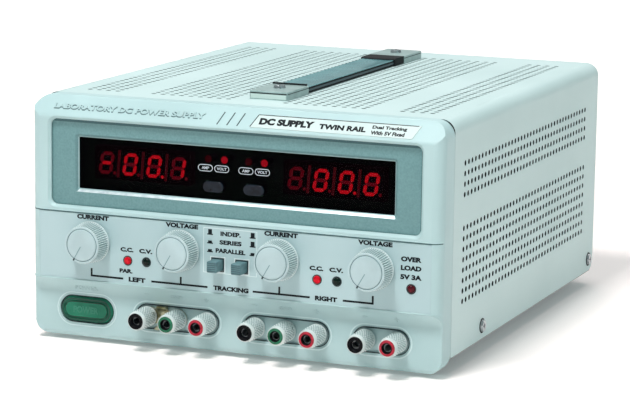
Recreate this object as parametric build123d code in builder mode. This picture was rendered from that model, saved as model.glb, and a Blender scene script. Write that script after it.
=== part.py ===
"""Bench power supply: two adjustable outputs and one fixed output in a perforated steel case.

Frame: millimetres, +X to the right as the user sees it, +Z up, the front faces -Y.
The origin is at the centre of the footprint, on the surface that the feet stand on.
A depth d is measured rearwards from the main face of the front bezel.
"""

import os
from math import cos, hypot, radians, sin

from build123d import *

# Case
CASE_W = 255.0
CASE_TOP = 145.0
COVER_BACK = 299.2
KNOB_REACH = 13.0
SINK_BACK = 322.0
FACE_Y = -(SINK_BACK + KNOB_REACH) / 2 + KNOB_REACH
SHEET = 1.2
PLATE = 1.5

# Front bezel
BEZEL_D = 19.0
BEZEL_BOTTOM = 2.2
WALL = 2.5
CORNER_R = 10.0
PLAN_R, PLAN_L, PLAN_BULGE = 6.0, 60.0, 0.33
CAVITY_CORNER = 4.5
FACET_LOW = 134.0
FACET_DEEP = 10.4
NAME_LEFT, NAME_RIGHT, NAME_SLANT = 11.0, 112.0, 3.5
NAME_LOW, NAME_HIGH, NAME_THICK = -5.4, 3.6, 0.4
COVE_TOP = 37.2
COVE_LOW = 28.5
SETBACK = 5.0
LIP_D, LIP_BOTTOM = 24.0, 28.0

# Top cover
COVER_FRONT = 19.3
COVER_LOW = 9.8
BEND_R = 8.0
VENT_R = 1.6
VENT_PITCH = 6.0
VENT_COLUMNS = 40
VENT_FIRST = 37.3
SIDE_VENTS = [(4, 109.3), (8, 60.0)]
TOP_VENTS = [(9, 42.0), (4, 98.5)]

# Tray and rear panel
TRAY_LOW = 8.4
TRAY_TOP = TRAY_LOW + PLATE
TRAY_BACK = 297.5
FLANGE_X = 126.2
FLANGE_TOP = 26.0
SUBPANEL = 16.0
SUBPANEL_TOP = 80.0
REAR_PANEL = 298.0
COVER_SCREWS = [(73.5, 17.5), (289.0, 17.5)]
REAR_SCREWS = [(-112.0, 17.5), (112.0, 17.5)]

# Display
RECESS_W, RECESS_LOW, RECESS_HIGH = 229.6, 81.5, 132.0
SURROUND_FACE = 3.0
WINDOW_FACE = 4.8
WINDOW_W, WINDOW_LOW, WINDOW_HIGH = 196.0, 91.5, 121.7
WINDOW_BEVEL = 1.9
DIGIT_FACE = 8.6
DIGIT_X, DIGIT_Z = 59.5, 107.0
BOARD_FACE = 17.0
DOT_X, DOT_Z = (-17.6, -7.5, 7.5, 17.3), 114.1
METER_X, METER_Z, METER_W, METER_H = 12.6, 98.8, 13.0, 6.4
METER_STEM_R = 1.2

# Control panel
PANEL_W, PANEL_LOW, PANEL_HIGH = 243.6, 37.5, 77.6
PANEL_POCKET = 1.2
KNOB_X = (-88.0, -30.8, 30.8, 88.0)
KNOB_Z = 61.3
KNOB_NAMES = ("left_current", "left_voltage", "right_current", "right_voltage")
SHAFT_R = 3.0
POINTER_DEG = 240.0
LED_PLACES = [(-64.6, 52.1), (-52.6, 52.2), (53.8, 51.8), (65.8, 51.8), (110.2, 51.6)]
LED_R = 2.4
TRACKING_X, TRACKING_Z = 7.5, 54.8
TRACKING_SIDE = 6.4
STEM_R, BUSH_R, SHAFT_END = 1.6, 4.7, 25.0

# Output posts and power button
POST_Z = 19.1
POST_PITCH = 19.05
POST_GROUPS = [(-35.4, 3), (33.0, 3), (90.9, 2)]
SLOT_H = 14.8
BLOCK_FACE, BLOCK_BACK = 7.6, 11.0
STUD_R = 3.0
SOCKET_R = 2.0
SOCKET_DEPTH = 21.0
STUD_TIP = -9.0
RING_R = 4.6
POWER_X, POWER_Z = -93.5, 19.3
POWER_W, POWER_H, POWER_STEM_R = 33.4, 14.8, 2.5

# Handle
HANDLE_X = 3.8
CAP_W, CAP_L, CAP_H = 24.0, 33.0, 5.0
CAP_FRONT, CAP_REAR = 44.5, 237.5
CAP_GROOVE, CAP_GROOVE_H, CAP_GROOVE_DEEP = 3.4, 0.4, 0.3
STRAP_W, STRAP_LOW, STRAP_T = 21.6, 145.5, 3.1
INLAY_W = 17.4
INLAY_INSET = 0.6

# Inside and rear
FAN_X, FAN_Z, FAN_SIZE, FAN_D = -62.0, 88.0, 80.0, 25.0
SINK_X, SINK_Z, SINK_W, SINK_H = 60.0, 78.0, 104.0, 108.0
INLET_X, INLET_Z = -62.0, 37.0
FAN_SCREW, FAN_PIN_R = 35.75, 2.0
GRILLE_R, GRILLE_PITCH = 2.5, 6.6
INLET_W, INLET_H = 27.0, 20.0
BOARD_X, BOARD_D = 64.0, 160.0
FOOT_X, FOOT_DEPTHS, FOOT_R, FOOT_HOLE_R = 99.0, (34.0, 268.0), 9.5, 3.0

# Fit and fasteners
RUNNING = 0.05
CLEARANCE = 0.3
SCREW_R, SCREW_HEAD_R, SCREW_HEAD_H, SCREW_L = 1.9, 3.6, 1.6, 7.0
SCREW_HOLE = 2.1


def facing(d):
    """The upright plane at depth d that faces the user: a negative extrusion goes rearwards."""
    return Plane.XZ.offset(-(FACE_Y + d))


def y_at(d):
    return FACE_Y + d


def save(piece, name):
    piece.label = name
    export_step(piece, f"parts/{name}.step")


def post_places():
    """The X of each output post, group by group from the left."""
    return [
        centre + (i - (count - 1) / 2) * POST_PITCH
        for centre, count in POST_GROUPS
        for i in range(count)
    ]


def handle_screws():
    """Where the two screws pass through the handle's end caps, seen from above."""
    return [(HANDLE_X, y_at(d + CAP_L / 2)) for d in (CAP_FRONT, CAP_REAR)]


def bezel_block():
    """The bezel's outer form, without its hollow."""
    height = CASE_TOP - BEZEL_BOTTOM
    with BuildPart() as block:
        with BuildSketch(facing(-1)):
            with Locations((0, BEZEL_BOTTOM + height / 2)):
                RectangleRounded(CASE_W, height, CORNER_R)
        extrude(amount=-(BEZEL_D + 1))
        with BuildSketch(Plane.YZ):
            with BuildLine():
                upper = FilletPolyline(
                    (y_at(BEZEL_D), CASE_TOP),
                    (y_at(FACET_DEEP), CASE_TOP),
                    (y_at(0), FACET_LOW),
                    (y_at(0), COVE_TOP),
                    radius=3.5,
                )
                cove = ThreePointArc(
                    upper @ 1,
                    (y_at(0.74 * SETBACK), COVE_LOW + 0.62 * (COVE_TOP - COVE_LOW)),
                    (y_at(SETBACK), COVE_LOW),
                )
                lower = FilletPolyline(
                    cove @ 1,
                    (y_at(SETBACK), BEZEL_BOTTOM),
                    (y_at(BEZEL_D), BEZEL_BOTTOM),
                    radius=4.0,
                )
                Line(lower @ 1, upper @ 0)
            make_face()
        extrude(amount=CASE_W, both=True, mode=Mode.INTERSECT)
        with BuildSketch(Plane.XY):
            with BuildLine():
                half = CASE_W / 2
                bulge = PLAN_R * PLAN_BULGE
                left = ThreePointArc(
                    (-half, y_at(PLAN_R)), (-half + bulge, y_at(bulge)), (PLAN_R - half, y_at(0))
                )
                right = ThreePointArc(
                    (half - PLAN_R, y_at(0)), (half - bulge, y_at(bulge)), (half, y_at(PLAN_R))
                )
                Line(left @ 1, right @ 0)
                Polyline(right @ 1, (half, y_at(PLAN_L)), (-half, y_at(PLAN_L)), left @ 0)
            make_face()
        extrude(amount=CASE_TOP + 1, mode=Mode.INTERSECT)
    return block.part


def bezel_cavity():
    """The hollow behind the bezel's wall: flat walls that follow the outer form inside."""
    back = y_at(BEZEL_D + WALL)
    height = CASE_TOP - BEZEL_BOTTOM - 2 * WALL
    with BuildPart() as cavity:
        with BuildSketch(facing(0)):
            with Locations((0, (CASE_TOP + BEZEL_BOTTOM) / 2)):
                Rectangle(CASE_W - 2 * WALL, height)
        extrude(amount=-(BEZEL_D + WALL))
        chamfer(cavity.edges().filter_by(Axis.Y), CAVITY_CORNER)
        with BuildSketch(Plane.YZ):
            with BuildLine():
                Polyline(
                    (back, CASE_TOP),
                    (y_at(FACET_DEEP), CASE_TOP - WALL),
                    (y_at(WALL), FACET_LOW - WALL / 2),
                    (y_at(WALL), COVE_TOP + 1.5),
                    (y_at(SETBACK + WALL), COVE_LOW + 1.5),
                    (y_at(SETBACK + WALL), BEZEL_BOTTOM),
                    (back, BEZEL_BOTTOM),
                    close=True,
                )
            make_face()
        extrude(amount=CASE_W, both=True, mode=Mode.INTERSECT)
    return cavity.part


def make_bezel():
    recess_h = RECESS_HIGH - RECESS_LOW
    recess_z = (RECESS_HIGH + RECESS_LOW) / 2
    with BuildPart() as front_bezel:
        add(bezel_block())
        add(bezel_cavity(), mode=Mode.SUBTRACT)
        with BuildSketch(facing(BEZEL_D - 1)):
            with Locations((0, (CASE_TOP + BEZEL_BOTTOM) / 2)):
                height = CASE_TOP - BEZEL_BOTTOM - 2 * (SHEET + CLEARANCE)
                RectangleRounded(CASE_W - 2 * (SHEET + CLEARANCE), height, CORNER_R - SHEET)
                RectangleRounded(CASE_W - 10, height - 7, CORNER_R - WALL, mode=Mode.SUBTRACT)
            with Locations((0, 0)):
                Rectangle(CASE_W, 2 * LIP_BOTTOM, mode=Mode.SUBTRACT)
        extrude(amount=-(LIP_D - BEZEL_D + 1))
        with BuildSketch(facing(-0.4)):
            with Locations((0, recess_z)):
                RectangleRounded(RECESS_W + 4, recess_h + 4, 5)
        with BuildSketch(facing(1.6)):
            with Locations((0, recess_z)):
                RectangleRounded(RECESS_W, recess_h, 4)
        loft(mode=Mode.SUBTRACT)
        with BuildSketch(facing(-1)):
            with Locations((0, recess_z)):
                RectangleRounded(RECESS_W, recess_h, 4)
        extrude(amount=-(WALL + 2), mode=Mode.SUBTRACT)
        with BuildSketch(facing(-1)):
            with Locations((0, (PANEL_LOW + PANEL_HIGH) / 2)):
                Rectangle(PANEL_W, PANEL_HIGH - PANEL_LOW)
        extrude(amount=-(PANEL_POCKET + 1), mode=Mode.SUBTRACT)
        with BuildSketch(facing(-1)):
            with Locations(*[(x, KNOB_Z) for x in KNOB_X]):
                Circle(BUSH_R + CLEARANCE)
            with Locations(*LED_PLACES):
                Circle(LED_R + RUNNING)
            with Locations((-TRACKING_X, TRACKING_Z), (TRACKING_X, TRACKING_Z)):
                Rectangle(TRACKING_SIDE + 1, TRACKING_SIDE + 1)
            for centre, count in POST_GROUPS:
                with Locations((centre, POST_Z)):
                    SlotOverall((count - 1) * POST_PITCH + SLOT_H, SLOT_H)
            with Locations((POWER_X, POWER_Z)):
                SlotOverall(POWER_W + 1.6, POWER_H + 1.6)
        extrude(amount=-(SETBACK + WALL + 2), mode=Mode.SUBTRACT)
        for centre, count in POST_GROUPS:
            rim_w = (count - 1) * POST_PITCH + SLOT_H
            with BuildSketch(facing(SETBACK - 1)):
                with Locations((centre, POST_Z)):
                    SlotOverall(rim_w + 4, SLOT_H + 4)
            with BuildSketch(facing(SETBACK + 1)):
                with Locations((centre, POST_Z)):
                    SlotOverall(rim_w, SLOT_H)
            loft(mode=Mode.SUBTRACT)
    save(front_bezel.part, "front_bezel")


def make_cover():
    drop = 30.0
    height = CASE_TOP + drop
    vent_y = y_at(VENT_FIRST + (VENT_COLUMNS - 1) / 2 * VENT_PITCH)
    with BuildPart() as top_cover:
        with BuildSketch(facing(COVER_FRONT)):
            with Locations((0, CASE_TOP - height / 2)):
                RectangleRounded(CASE_W, height, BEND_R)
                RectangleRounded(
                    CASE_W - 2 * SHEET, height - 2 * SHEET, BEND_R - SHEET, mode=Mode.SUBTRACT
                )
            with Locations((0, COVER_LOW - drop)):
                Rectangle(CASE_W + 2, 2 * drop, mode=Mode.SUBTRACT)
        extrude(amount=-(COVER_BACK - COVER_FRONT))
        low_edges = top_cover.edges().filter_by(Axis.X).group_by(Axis.Z)[0]
        fillet(low_edges.sort_by(Axis.Y)[-2:], BEND_R)
        with BuildSketch(Plane.YZ.offset(-CASE_W / 2 - 1)):
            for rows, z in SIDE_VENTS:
                with Locations((vent_y, z)):
                    with GridLocations(VENT_PITCH, VENT_PITCH, VENT_COLUMNS, rows):
                        Circle(VENT_R)
            with Locations(*[(y_at(d), z) for d, z in COVER_SCREWS]):
                Circle(SCREW_HOLE)
        extrude(amount=CASE_W + 2, mode=Mode.SUBTRACT)
        with BuildSketch(Plane.XY.offset(CASE_TOP - BEND_R)):
            for lines, x in TOP_VENTS:
                with Locations((-x, vent_y), (x, vent_y)):
                    with GridLocations(VENT_PITCH, VENT_PITCH, lines, VENT_COLUMNS):
                        Circle(VENT_R)
            with Locations(*handle_screws()):
                Circle(SCREW_HOLE)
        extrude(amount=BEND_R + 1, mode=Mode.SUBTRACT)
    save(top_cover.part, "top_cover")


def make_tray():
    """Folded steel floor with side flanges, a rear flange and the front sub-panel."""
    length = TRAY_BACK - SUBPANEL
    with BuildPart() as chassis_tray:
        with BuildSketch(Plane.XY.offset(TRAY_LOW)):
            with Locations((0, y_at(SUBPANEL) + length / 2)):
                Rectangle(2 * (FLANGE_X - 4), length)
            with Locations((0, (y_at(LIP_D + 1) + y_at(TRAY_BACK)) / 2)):
                Rectangle(2 * FLANGE_X, TRAY_BACK - LIP_D - 1)
            with Locations(*foot_places()):
                Circle(FOOT_HOLE_R, mode=Mode.SUBTRACT)
        extrude(amount=PLATE)
        with BuildSketch(Plane.XY.offset(TRAY_LOW)):
            with Locations((0, (y_at(LIP_D + 1) + y_at(TRAY_BACK)) / 2)):
                Rectangle(2 * FLANGE_X, TRAY_BACK - LIP_D - 1)
                Rectangle(2 * (FLANGE_X - PLATE), TRAY_BACK, mode=Mode.SUBTRACT)
        extrude(amount=FLANGE_TOP - TRAY_LOW)
        with BuildSketch(facing(TRAY_BACK - PLATE)):
            with Locations((0, (TRAY_LOW + FLANGE_TOP) / 2)):
                Rectangle(2 * (FLANGE_X - 5), FLANGE_TOP - TRAY_LOW)
            with Locations(*REAR_SCREWS):
                Circle(SCREW_HOLE, mode=Mode.SUBTRACT)
        extrude(amount=-PLATE)
        with BuildSketch(facing(SUBPANEL)):
            with Locations((0, (TRAY_LOW + SUBPANEL_TOP) / 2)):
                Rectangle(2 * (FLANGE_X - 7), SUBPANEL_TOP - TRAY_LOW)
            with Locations(*[(x, KNOB_Z) for x in KNOB_X]):
                Circle(BUSH_R + RUNNING, mode=Mode.SUBTRACT)
            with Locations((-TRACKING_X, TRACKING_Z), (TRACKING_X, TRACKING_Z)):
                Circle(STEM_R + CLEARANCE, mode=Mode.SUBTRACT)
            with Locations(*[(x, POST_Z) for x in post_places()]):
                Circle(STUD_R + 3, mode=Mode.SUBTRACT)
            with Locations((POWER_X, POWER_Z)):
                Circle(POWER_STEM_R + CLEARANCE, mode=Mode.SUBTRACT)
        extrude(amount=-PLATE)
        with BuildSketch(Plane.YZ.offset(-CASE_W / 2)):
            with Locations(*[(y_at(d), z) for d, z in COVER_SCREWS]):
                Circle(SCREW_HOLE)
        extrude(amount=CASE_W, mode=Mode.SUBTRACT)
    save(chassis_tray.part, "chassis_tray")


def foot_places():
    return [(side * FOOT_X, y_at(d)) for side in (-1, 1) for d in FOOT_DEPTHS]


def make_feet():
    """Moulded rubber feet, each with a spigot pressed into the floor."""
    with BuildPart() as feet:
        with BuildSketch():
            with Locations(*foot_places()):
                Circle(FOOT_R)
        extrude(amount=TRAY_LOW, taper=4)
        with BuildSketch(Plane.XY.offset(TRAY_LOW)):
            with Locations(*foot_places()):
                Circle(FOOT_HOLE_R)
        extrude(amount=PLATE + 1)
    save(feet.part, "feet")


def grille_places():
    """Hole centres of the fan grille, in staggered rows inside a circle."""
    places = []
    for row in range(-6, 7):
        for step in range(-6, 7):
            x, z = (step + (row % 2) / 2) * GRILLE_PITCH, row * GRILLE_PITCH * 0.866
            if hypot(x, z) < FAN_SIZE / 2 - 5:
                places.append((FAN_X + x, FAN_Z + z))
    return places


def fan_screw_places():
    return [
        (FAN_X + sx * FAN_SCREW, FAN_Z + sz * FAN_SCREW) for sx in (-1, 1) for sz in (-1, 1)
    ]


def make_rear_panel():
    bottom, top = TRAY_LOW, CASE_TOP - SHEET - CLEARANCE
    with BuildPart() as rear_panel:
        with BuildSketch(facing(REAR_PANEL)):
            with Locations((0, (bottom + top) / 2)):
                RectangleRounded(CASE_W - 2 * (SHEET + CLEARANCE), top - bottom, BEND_R - SHEET)
            with Locations(*grille_places()):
                Circle(GRILLE_R, mode=Mode.SUBTRACT)
            with Locations(*fan_screw_places(), *REAR_SCREWS):
                Circle(SCREW_HOLE, mode=Mode.SUBTRACT)
            with Locations((SINK_X, SINK_Z)):
                Rectangle(SINK_W - 24, SINK_H - 24, mode=Mode.SUBTRACT)
            with Locations((INLET_X, INLET_Z)):
                Rectangle(INLET_W + CLEARANCE, INLET_H + CLEARANCE, mode=Mode.SUBTRACT)
        extrude(amount=-PLATE)
    save(rear_panel.part, "rear_panel")


def make_display():
    surround_w, surround_low, surround_high = RECESS_W + 7, RECESS_LOW - 2.2, RECESS_HIGH + 0.8
    window_z = (WINDOW_LOW + WINDOW_HIGH) / 2
    window_h = WINDOW_HIGH - WINDOW_LOW
    with BuildPart() as display_surround:
        with BuildSketch(facing(SURROUND_FACE)):
            with Locations((0, (surround_low + surround_high) / 2)):
                Rectangle(surround_w, surround_high - surround_low)
        extrude(amount=-(WINDOW_FACE - SURROUND_FACE))
        with BuildSketch(facing(SURROUND_FACE - 0.01)):
            with Locations((0, window_z)):
                RectangleRounded(WINDOW_W + 2 * WINDOW_BEVEL, window_h + 2 * WINDOW_BEVEL, 1.5)
        with BuildSketch(facing(WINDOW_FACE + 0.01)):
            with Locations((0, window_z)):
                RectangleRounded(WINDOW_W, window_h, 0.8)
        loft(mode=Mode.SUBTRACT)
    save(display_surround.part, "display_surround")

    with BuildPart() as display_window:
        with BuildSketch(facing(WINDOW_FACE)):
            with Locations((0, window_z)):
                Rectangle(WINDOW_W + 6, window_h + 4)
            with Locations((-METER_X, METER_Z), (METER_X, METER_Z)):
                SlotOverall(METER_W + 2 * CLEARANCE, METER_H + 2 * CLEARANCE, mode=Mode.SUBTRACT)
        extrude(amount=-2)
    save(display_window.part, "display_window")

    with BuildPart() as digit_modules:
        with BuildSketch(facing(DIGIT_FACE)):
            with Locations((-DIGIT_X, DIGIT_Z), (DIGIT_X, DIGIT_Z)):
                Rectangle(61, 19)
        extrude(amount=-7)
        with BuildSketch(facing(DIGIT_FACE + 7)):
            with Locations((-DIGIT_X, DIGIT_Z), (DIGIT_X, DIGIT_Z)):
                Rectangle(54, 15.2)
                Rectangle(53, 13.6, mode=Mode.SUBTRACT)
        extrude(amount=-(BOARD_FACE - DIGIT_FACE - 7))
    save(digit_modules.part, "digit_modules")

    with BuildPart() as display_board:
        with BuildSketch(facing(BOARD_FACE)):
            with Locations((0, DIGIT_Z)):
                Rectangle(210, 40)
            with Locations((-METER_X, METER_Z), (METER_X, METER_Z)):
                Circle(METER_STEM_R + CLEARANCE, mode=Mode.SUBTRACT)
        extrude(amount=-1.6)
    save(display_board.part, "display_board")


def make_leds():
    """Domed lamps: five in the control panel and four behind the window."""
    with BuildPart() as indicator_leds:
        with BuildSketch(facing(-0.2)):
            with Locations(*LED_PLACES):
                Circle(LED_R)
        extrude(amount=-9)
        domes = indicator_leds.edges().group_by(Axis.Y)[0]
        fillet(domes, 1.6)
        with BuildSketch(facing(DIGIT_FACE)):
            with Locations(*[(x, DOT_Z) for x in DOT_X]):
                Circle(LED_R - 0.2)
        extrude(amount=-(BOARD_FACE - DIGIT_FACE))
    save(indicator_leds.part, "indicator_leds")


def make_control_panel():
    with BuildPart() as control_panel:
        with BuildSketch(facing(PANEL_POCKET - 1.0)):
            with Locations((0, (PANEL_LOW + PANEL_HIGH) / 2)):
                Rectangle(PANEL_W - RUNNING, PANEL_HIGH - PANEL_LOW - 0.5)
            with Locations(*[(x, KNOB_Z) for x in KNOB_X]):
                Circle(BUSH_R + CLEARANCE, mode=Mode.SUBTRACT)
            with Locations(*LED_PLACES):
                Circle(LED_R + RUNNING, mode=Mode.SUBTRACT)
            with Locations((-TRACKING_X, TRACKING_Z), (TRACKING_X, TRACKING_Z)):
                Rectangle(TRACKING_SIDE + 0.8, TRACKING_SIDE + 0.8, mode=Mode.SUBTRACT)
        extrude(amount=-1)
    save(control_panel.part, "control_panel")


def make_name_plate():
    """A thin blank plate on the bezel's slanted facet, its left end cut on the slant."""
    slope = Vector(0, FACET_DEEP, CASE_TOP - FACET_LOW).normalized()
    outward = Vector(0, -slope.Z, slope.Y)
    middle = Vector(0, y_at(FACET_DEEP * 0.47), FACET_LOW + 0.47 * (CASE_TOP - FACET_LOW))
    facet = Plane(origin=middle, x_dir=(1, 0, 0), z_dir=outward)
    with BuildPart() as name_plate:
        with BuildSketch(facet):
            with BuildLine():
                Polyline(
                    (NAME_LEFT, NAME_LOW),
                    (NAME_LEFT + NAME_SLANT, NAME_HIGH),
                    (NAME_RIGHT, NAME_HIGH),
                    (NAME_RIGHT - NAME_SLANT, NAME_LOW),
                    close=True,
                )
            make_face()
        extrude(amount=NAME_THICK)
    save(name_plate.part, "name_plate")


def make_knob(x, name):
    """A tapered knob with a rim groove and a pointer slot, on its own shaft."""
    with BuildPart() as knob:
        with BuildSketch(Plane.YZ.offset(x)):
            with BuildLine():
                Polyline(
                    (y_at(-0.8), KNOB_Z + SHAFT_R + 0.02),
                    (y_at(-0.8), KNOB_Z + 12.2),
                    (y_at(-2.6), KNOB_Z + 12.2),
                    (y_at(-3.2), KNOB_Z + 11.7),
                    (y_at(-11.6), KNOB_Z + 11.1),
                    (y_at(-KNOB_REACH + 0.4), KNOB_Z + 10.7),
                    (y_at(-KNOB_REACH + 0.4), KNOB_Z + 9.9),
                    (y_at(-KNOB_REACH + 1.0), KNOB_Z + 9.6),
                    (y_at(-KNOB_REACH), KNOB_Z + 9.2),
                    (y_at(-KNOB_REACH), KNOB_Z),
                    (y_at(-9.0), KNOB_Z),
                    (y_at(-9.0), KNOB_Z + SHAFT_R + 0.02),
                    close=True,
                )
            make_face()
        revolve(axis=Axis((x, 0, KNOB_Z), (0, 1, 0)))
        turn = radians(POINTER_DEG)
        with BuildSketch(facing(-KNOB_REACH - 1)):
            with Locations(Location((x + 9 * cos(turn), KNOB_Z + 9 * sin(turn)), POINTER_DEG)):
                Rectangle(8, 0.8)
        extrude(amount=-1.4, mode=Mode.SUBTRACT)
    save(knob.part, f"knob_{name}")

    with BuildPart() as shaft:
        with BuildSketch(facing(-8.8)):
            with Locations((x, KNOB_Z)):
                Circle(SHAFT_R)
        extrude(amount=-(SHAFT_END + 8.8))
    save(shaft.part, f"shaft_{name}")


def make_potentiometers():
    with BuildPart() as potentiometers:
        with BuildSketch(facing(9.0)):
            with Locations(*[(x, KNOB_Z) for x in KNOB_X]):
                Circle(BUSH_R)
        extrude(amount=-(SUBPANEL + PLATE - 9.0))
        with BuildSketch(facing(SUBPANEL + PLATE)):
            with Locations(*[(x, KNOB_Z) for x in KNOB_X]):
                Circle(8.4)
        extrude(amount=-10)
        with BuildSketch(facing(8.0)):
            with Locations(*[(x, KNOB_Z) for x in KNOB_X]):
                Circle(SHAFT_R + RUNNING)
        extrude(amount=-(SHAFT_END + 0.5 - 8.0), mode=Mode.SUBTRACT)
    save(potentiometers.part, "potentiometers")


def make_buttons():
    for x, name in ((-TRACKING_X, "left"), (TRACKING_X, "right")):
        with BuildPart() as tracking_button:
            with BuildSketch(facing(-8.5)):
                with Locations((x, TRACKING_Z)):
                    RectangleRounded(TRACKING_SIDE, TRACKING_SIDE, 0.8)
            extrude(amount=-15)
            chamfer(tracking_button.faces().sort_by(Axis.Y)[0].edges(), 0.5)
            with BuildSketch(facing(6.5)):
                with Locations((x, TRACKING_Z)):
                    Circle(STEM_R)
            extrude(amount=-20)
        save(tracking_button.part, f"tracking_button_{name}")

    for x, name in ((-METER_X, "left"), (METER_X, "right")):
        with BuildPart() as meter_button:
            with BuildSketch(facing(3.7)):
                with Locations((x, METER_Z)):
                    SlotOverall(METER_W, METER_H)
            extrude(amount=-5.6)
            chamfer(meter_button.faces().sort_by(Axis.Y)[0].edges(), 0.4)
            with BuildSketch(facing(9.3)):
                with Locations((x, METER_Z)):
                    Circle(METER_STEM_R)
            extrude(amount=-12)
        save(meter_button.part, f"meter_button_{name}")

    with BuildPart() as power_button:
        with BuildSketch(facing(4.6)):
            with Locations((POWER_X, POWER_Z)):
                SlotOverall(POWER_W, POWER_H)
        extrude(amount=-9)
        chamfer(power_button.faces().sort_by(Axis.Y)[0].edges(), 1.2)
        with BuildSketch(facing(3.7)):
            with Locations((POWER_X, POWER_Z)):
                SlotOverall(POWER_W - 6, POWER_H - 6)
        extrude(amount=-2)
        with BuildSketch(facing(13)):
            with Locations((POWER_X, POWER_Z)):
                Circle(POWER_STEM_R)
        extrude(amount=-20)
    save(power_button.part, "power_button")


def make_push_switches():
    """Latching switch bodies behind the buttons, each with a bore for its button's stem."""
    with BuildPart() as push_switches:
        with BuildSketch(facing(22)):
            with Locations((-TRACKING_X, TRACKING_Z), (TRACKING_X, TRACKING_Z)):
                Rectangle(11, 11)
                Circle(STEM_R + RUNNING, mode=Mode.SUBTRACT)
        extrude(amount=-16)
        with BuildSketch(facing(BOARD_FACE + 1.6)):
            with Locations((-METER_X, METER_Z), (METER_X, METER_Z)):
                Rectangle(9, 9)
                Circle(METER_STEM_R + RUNNING, mode=Mode.SUBTRACT)
        extrude(amount=-9)
        with BuildSketch(facing(24)):
            with Locations((POWER_X, POWER_Z + 1)):
                Rectangle(17, 15)
            with Locations((POWER_X, POWER_Z)):
                Circle(POWER_STEM_R + RUNNING, mode=Mode.SUBTRACT)
        extrude(amount=-20)
    save(push_switches.part, "push_switches")


def make_posts():
    """Each binding post: a fixed brass stud, a coloured ring and a screw cap."""
    for i, x in enumerate(post_places(), 1):
        with BuildPart() as ring:
            with BuildSketch(facing(-11)):
                with Locations((x, POST_Z)):
                    Circle(RING_R)
                    Circle(STUD_R + RUNNING, mode=Mode.SUBTRACT)
            extrude(amount=-7)
        save(ring.part, f"post_ring_{i}")

        with BuildPart() as cap:
            with BuildSketch(Plane.YZ.offset(x)):
                with BuildLine():
                    Polyline(
                        (y_at(6.4), POST_Z + STUD_R + RUNNING),
                        (y_at(6.4), POST_Z + 5.7),
                        (y_at(5.9), POST_Z + 6.1),
                        (y_at(-4.0), POST_Z + 6.0),
                        (y_at(-9.6), POST_Z + 5.4),
                        (y_at(-10.4), POST_Z + 5.0),
                        (y_at(-10.4), POST_Z + RING_R + RUNNING),
                        (y_at(-3.9), POST_Z + RING_R + RUNNING),
                        (y_at(-3.9), POST_Z + STUD_R + RUNNING),
                        close=True,
                    )
                make_face()
            revolve(axis=Axis((x, 0, POST_Z), (0, 1, 0)))
        save(cap.part, f"post_cap_{i}")

    with BuildPart() as post_studs:
        with BuildSketch(facing(STUD_TIP)):
            with Locations(*[(x, POST_Z) for x in post_places()]):
                Circle(STUD_R)
        extrude(amount=-(30 - STUD_TIP))
        with BuildSketch(facing(BLOCK_BACK)):
            with Locations(*[(x, POST_Z) for x in post_places()]):
                RegularPolygon(5.2, 6)
        extrude(amount=-3)
        with BuildSketch(facing(STUD_TIP - 1)):
            with Locations(*[(x, POST_Z) for x in post_places()]):
                Circle(SOCKET_R)
        extrude(amount=-(SOCKET_DEPTH + 1), mode=Mode.SUBTRACT)
    save(post_studs.part, "post_studs")

    with BuildPart() as post_blocks:
        with BuildSketch(facing(BLOCK_FACE)):
            for centre, count in POST_GROUPS:
                with Locations((centre, POST_Z)):
                    SlotOverall((count - 1) * POST_PITCH + SLOT_H + 4, SLOT_H + 4)
            with Locations(*[(x, POST_Z) for x in post_places()]):
                Circle(STUD_R + RUNNING, mode=Mode.SUBTRACT)
        extrude(amount=-(BLOCK_BACK - BLOCK_FACE))
    save(post_blocks.part, "post_blocks")

    first, second = post_places()[:2]
    middle = (first + second) / 2
    with BuildPart() as shorting_link:
        with BuildSketch(facing(6.6)):
            with Locations((middle, POST_Z)):
                Rectangle(POST_PITCH - 4, 8)
            with Locations((first, POST_Z), (second, POST_Z)):
                Circle(5.6)
                Circle(STUD_R + RUNNING, mode=Mode.SUBTRACT)
            with Locations((middle, POST_Z)):
                Rectangle(5.6, 13.6)
        extrude(amount=-0.9)
        with BuildSketch(facing(3.2)):
            with Locations((middle, POST_Z + 6.3)):
                Rectangle(5.6, 1.0)
        extrude(amount=-4)
    save(shorting_link.part, "shorting_link")


def cap_shell(front, mouth):
    """One end cap of the handle: a low box, open below and at its mouth."""
    y = y_at(front + CAP_L / 2)
    with BuildPart() as cap:
        with BuildSketch(Plane.XY.offset(CASE_TOP)):
            with Locations((HANDLE_X, y)):
                RectangleRounded(CAP_W, CAP_L, 1.2)
        extrude(amount=CAP_H)
        chamfer(cap.faces().sort_by(Axis.Z)[-1].edges(), 0.35)
        with BuildSketch(Plane.XY.offset(CASE_TOP)):
            with Locations((HANDLE_X, y + mouth * 2)):
                Rectangle(CAP_W - 1.8, CAP_L)
        extrude(amount=CAP_H - 1.0, mode=Mode.SUBTRACT)
        with BuildSketch(Plane.XY.offset(CASE_TOP + CAP_GROOVE)):
            with Locations((HANDLE_X, y)):
                Rectangle(CAP_W + 2, CAP_L + 2)
                Rectangle(
                    CAP_W - 2 * CAP_GROOVE_DEEP, CAP_L - 2 * CAP_GROOVE_DEEP, mode=Mode.SUBTRACT
                )
        extrude(amount=CAP_GROOVE_H, mode=Mode.SUBTRACT)
        with BuildSketch(Plane.XY.offset(CASE_TOP)):
            with Locations((HANDLE_X, y)):
                Circle(SCREW_HOLE)
        extrude(amount=CAP_H + 1, mode=Mode.SUBTRACT)
    return cap.part


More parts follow.
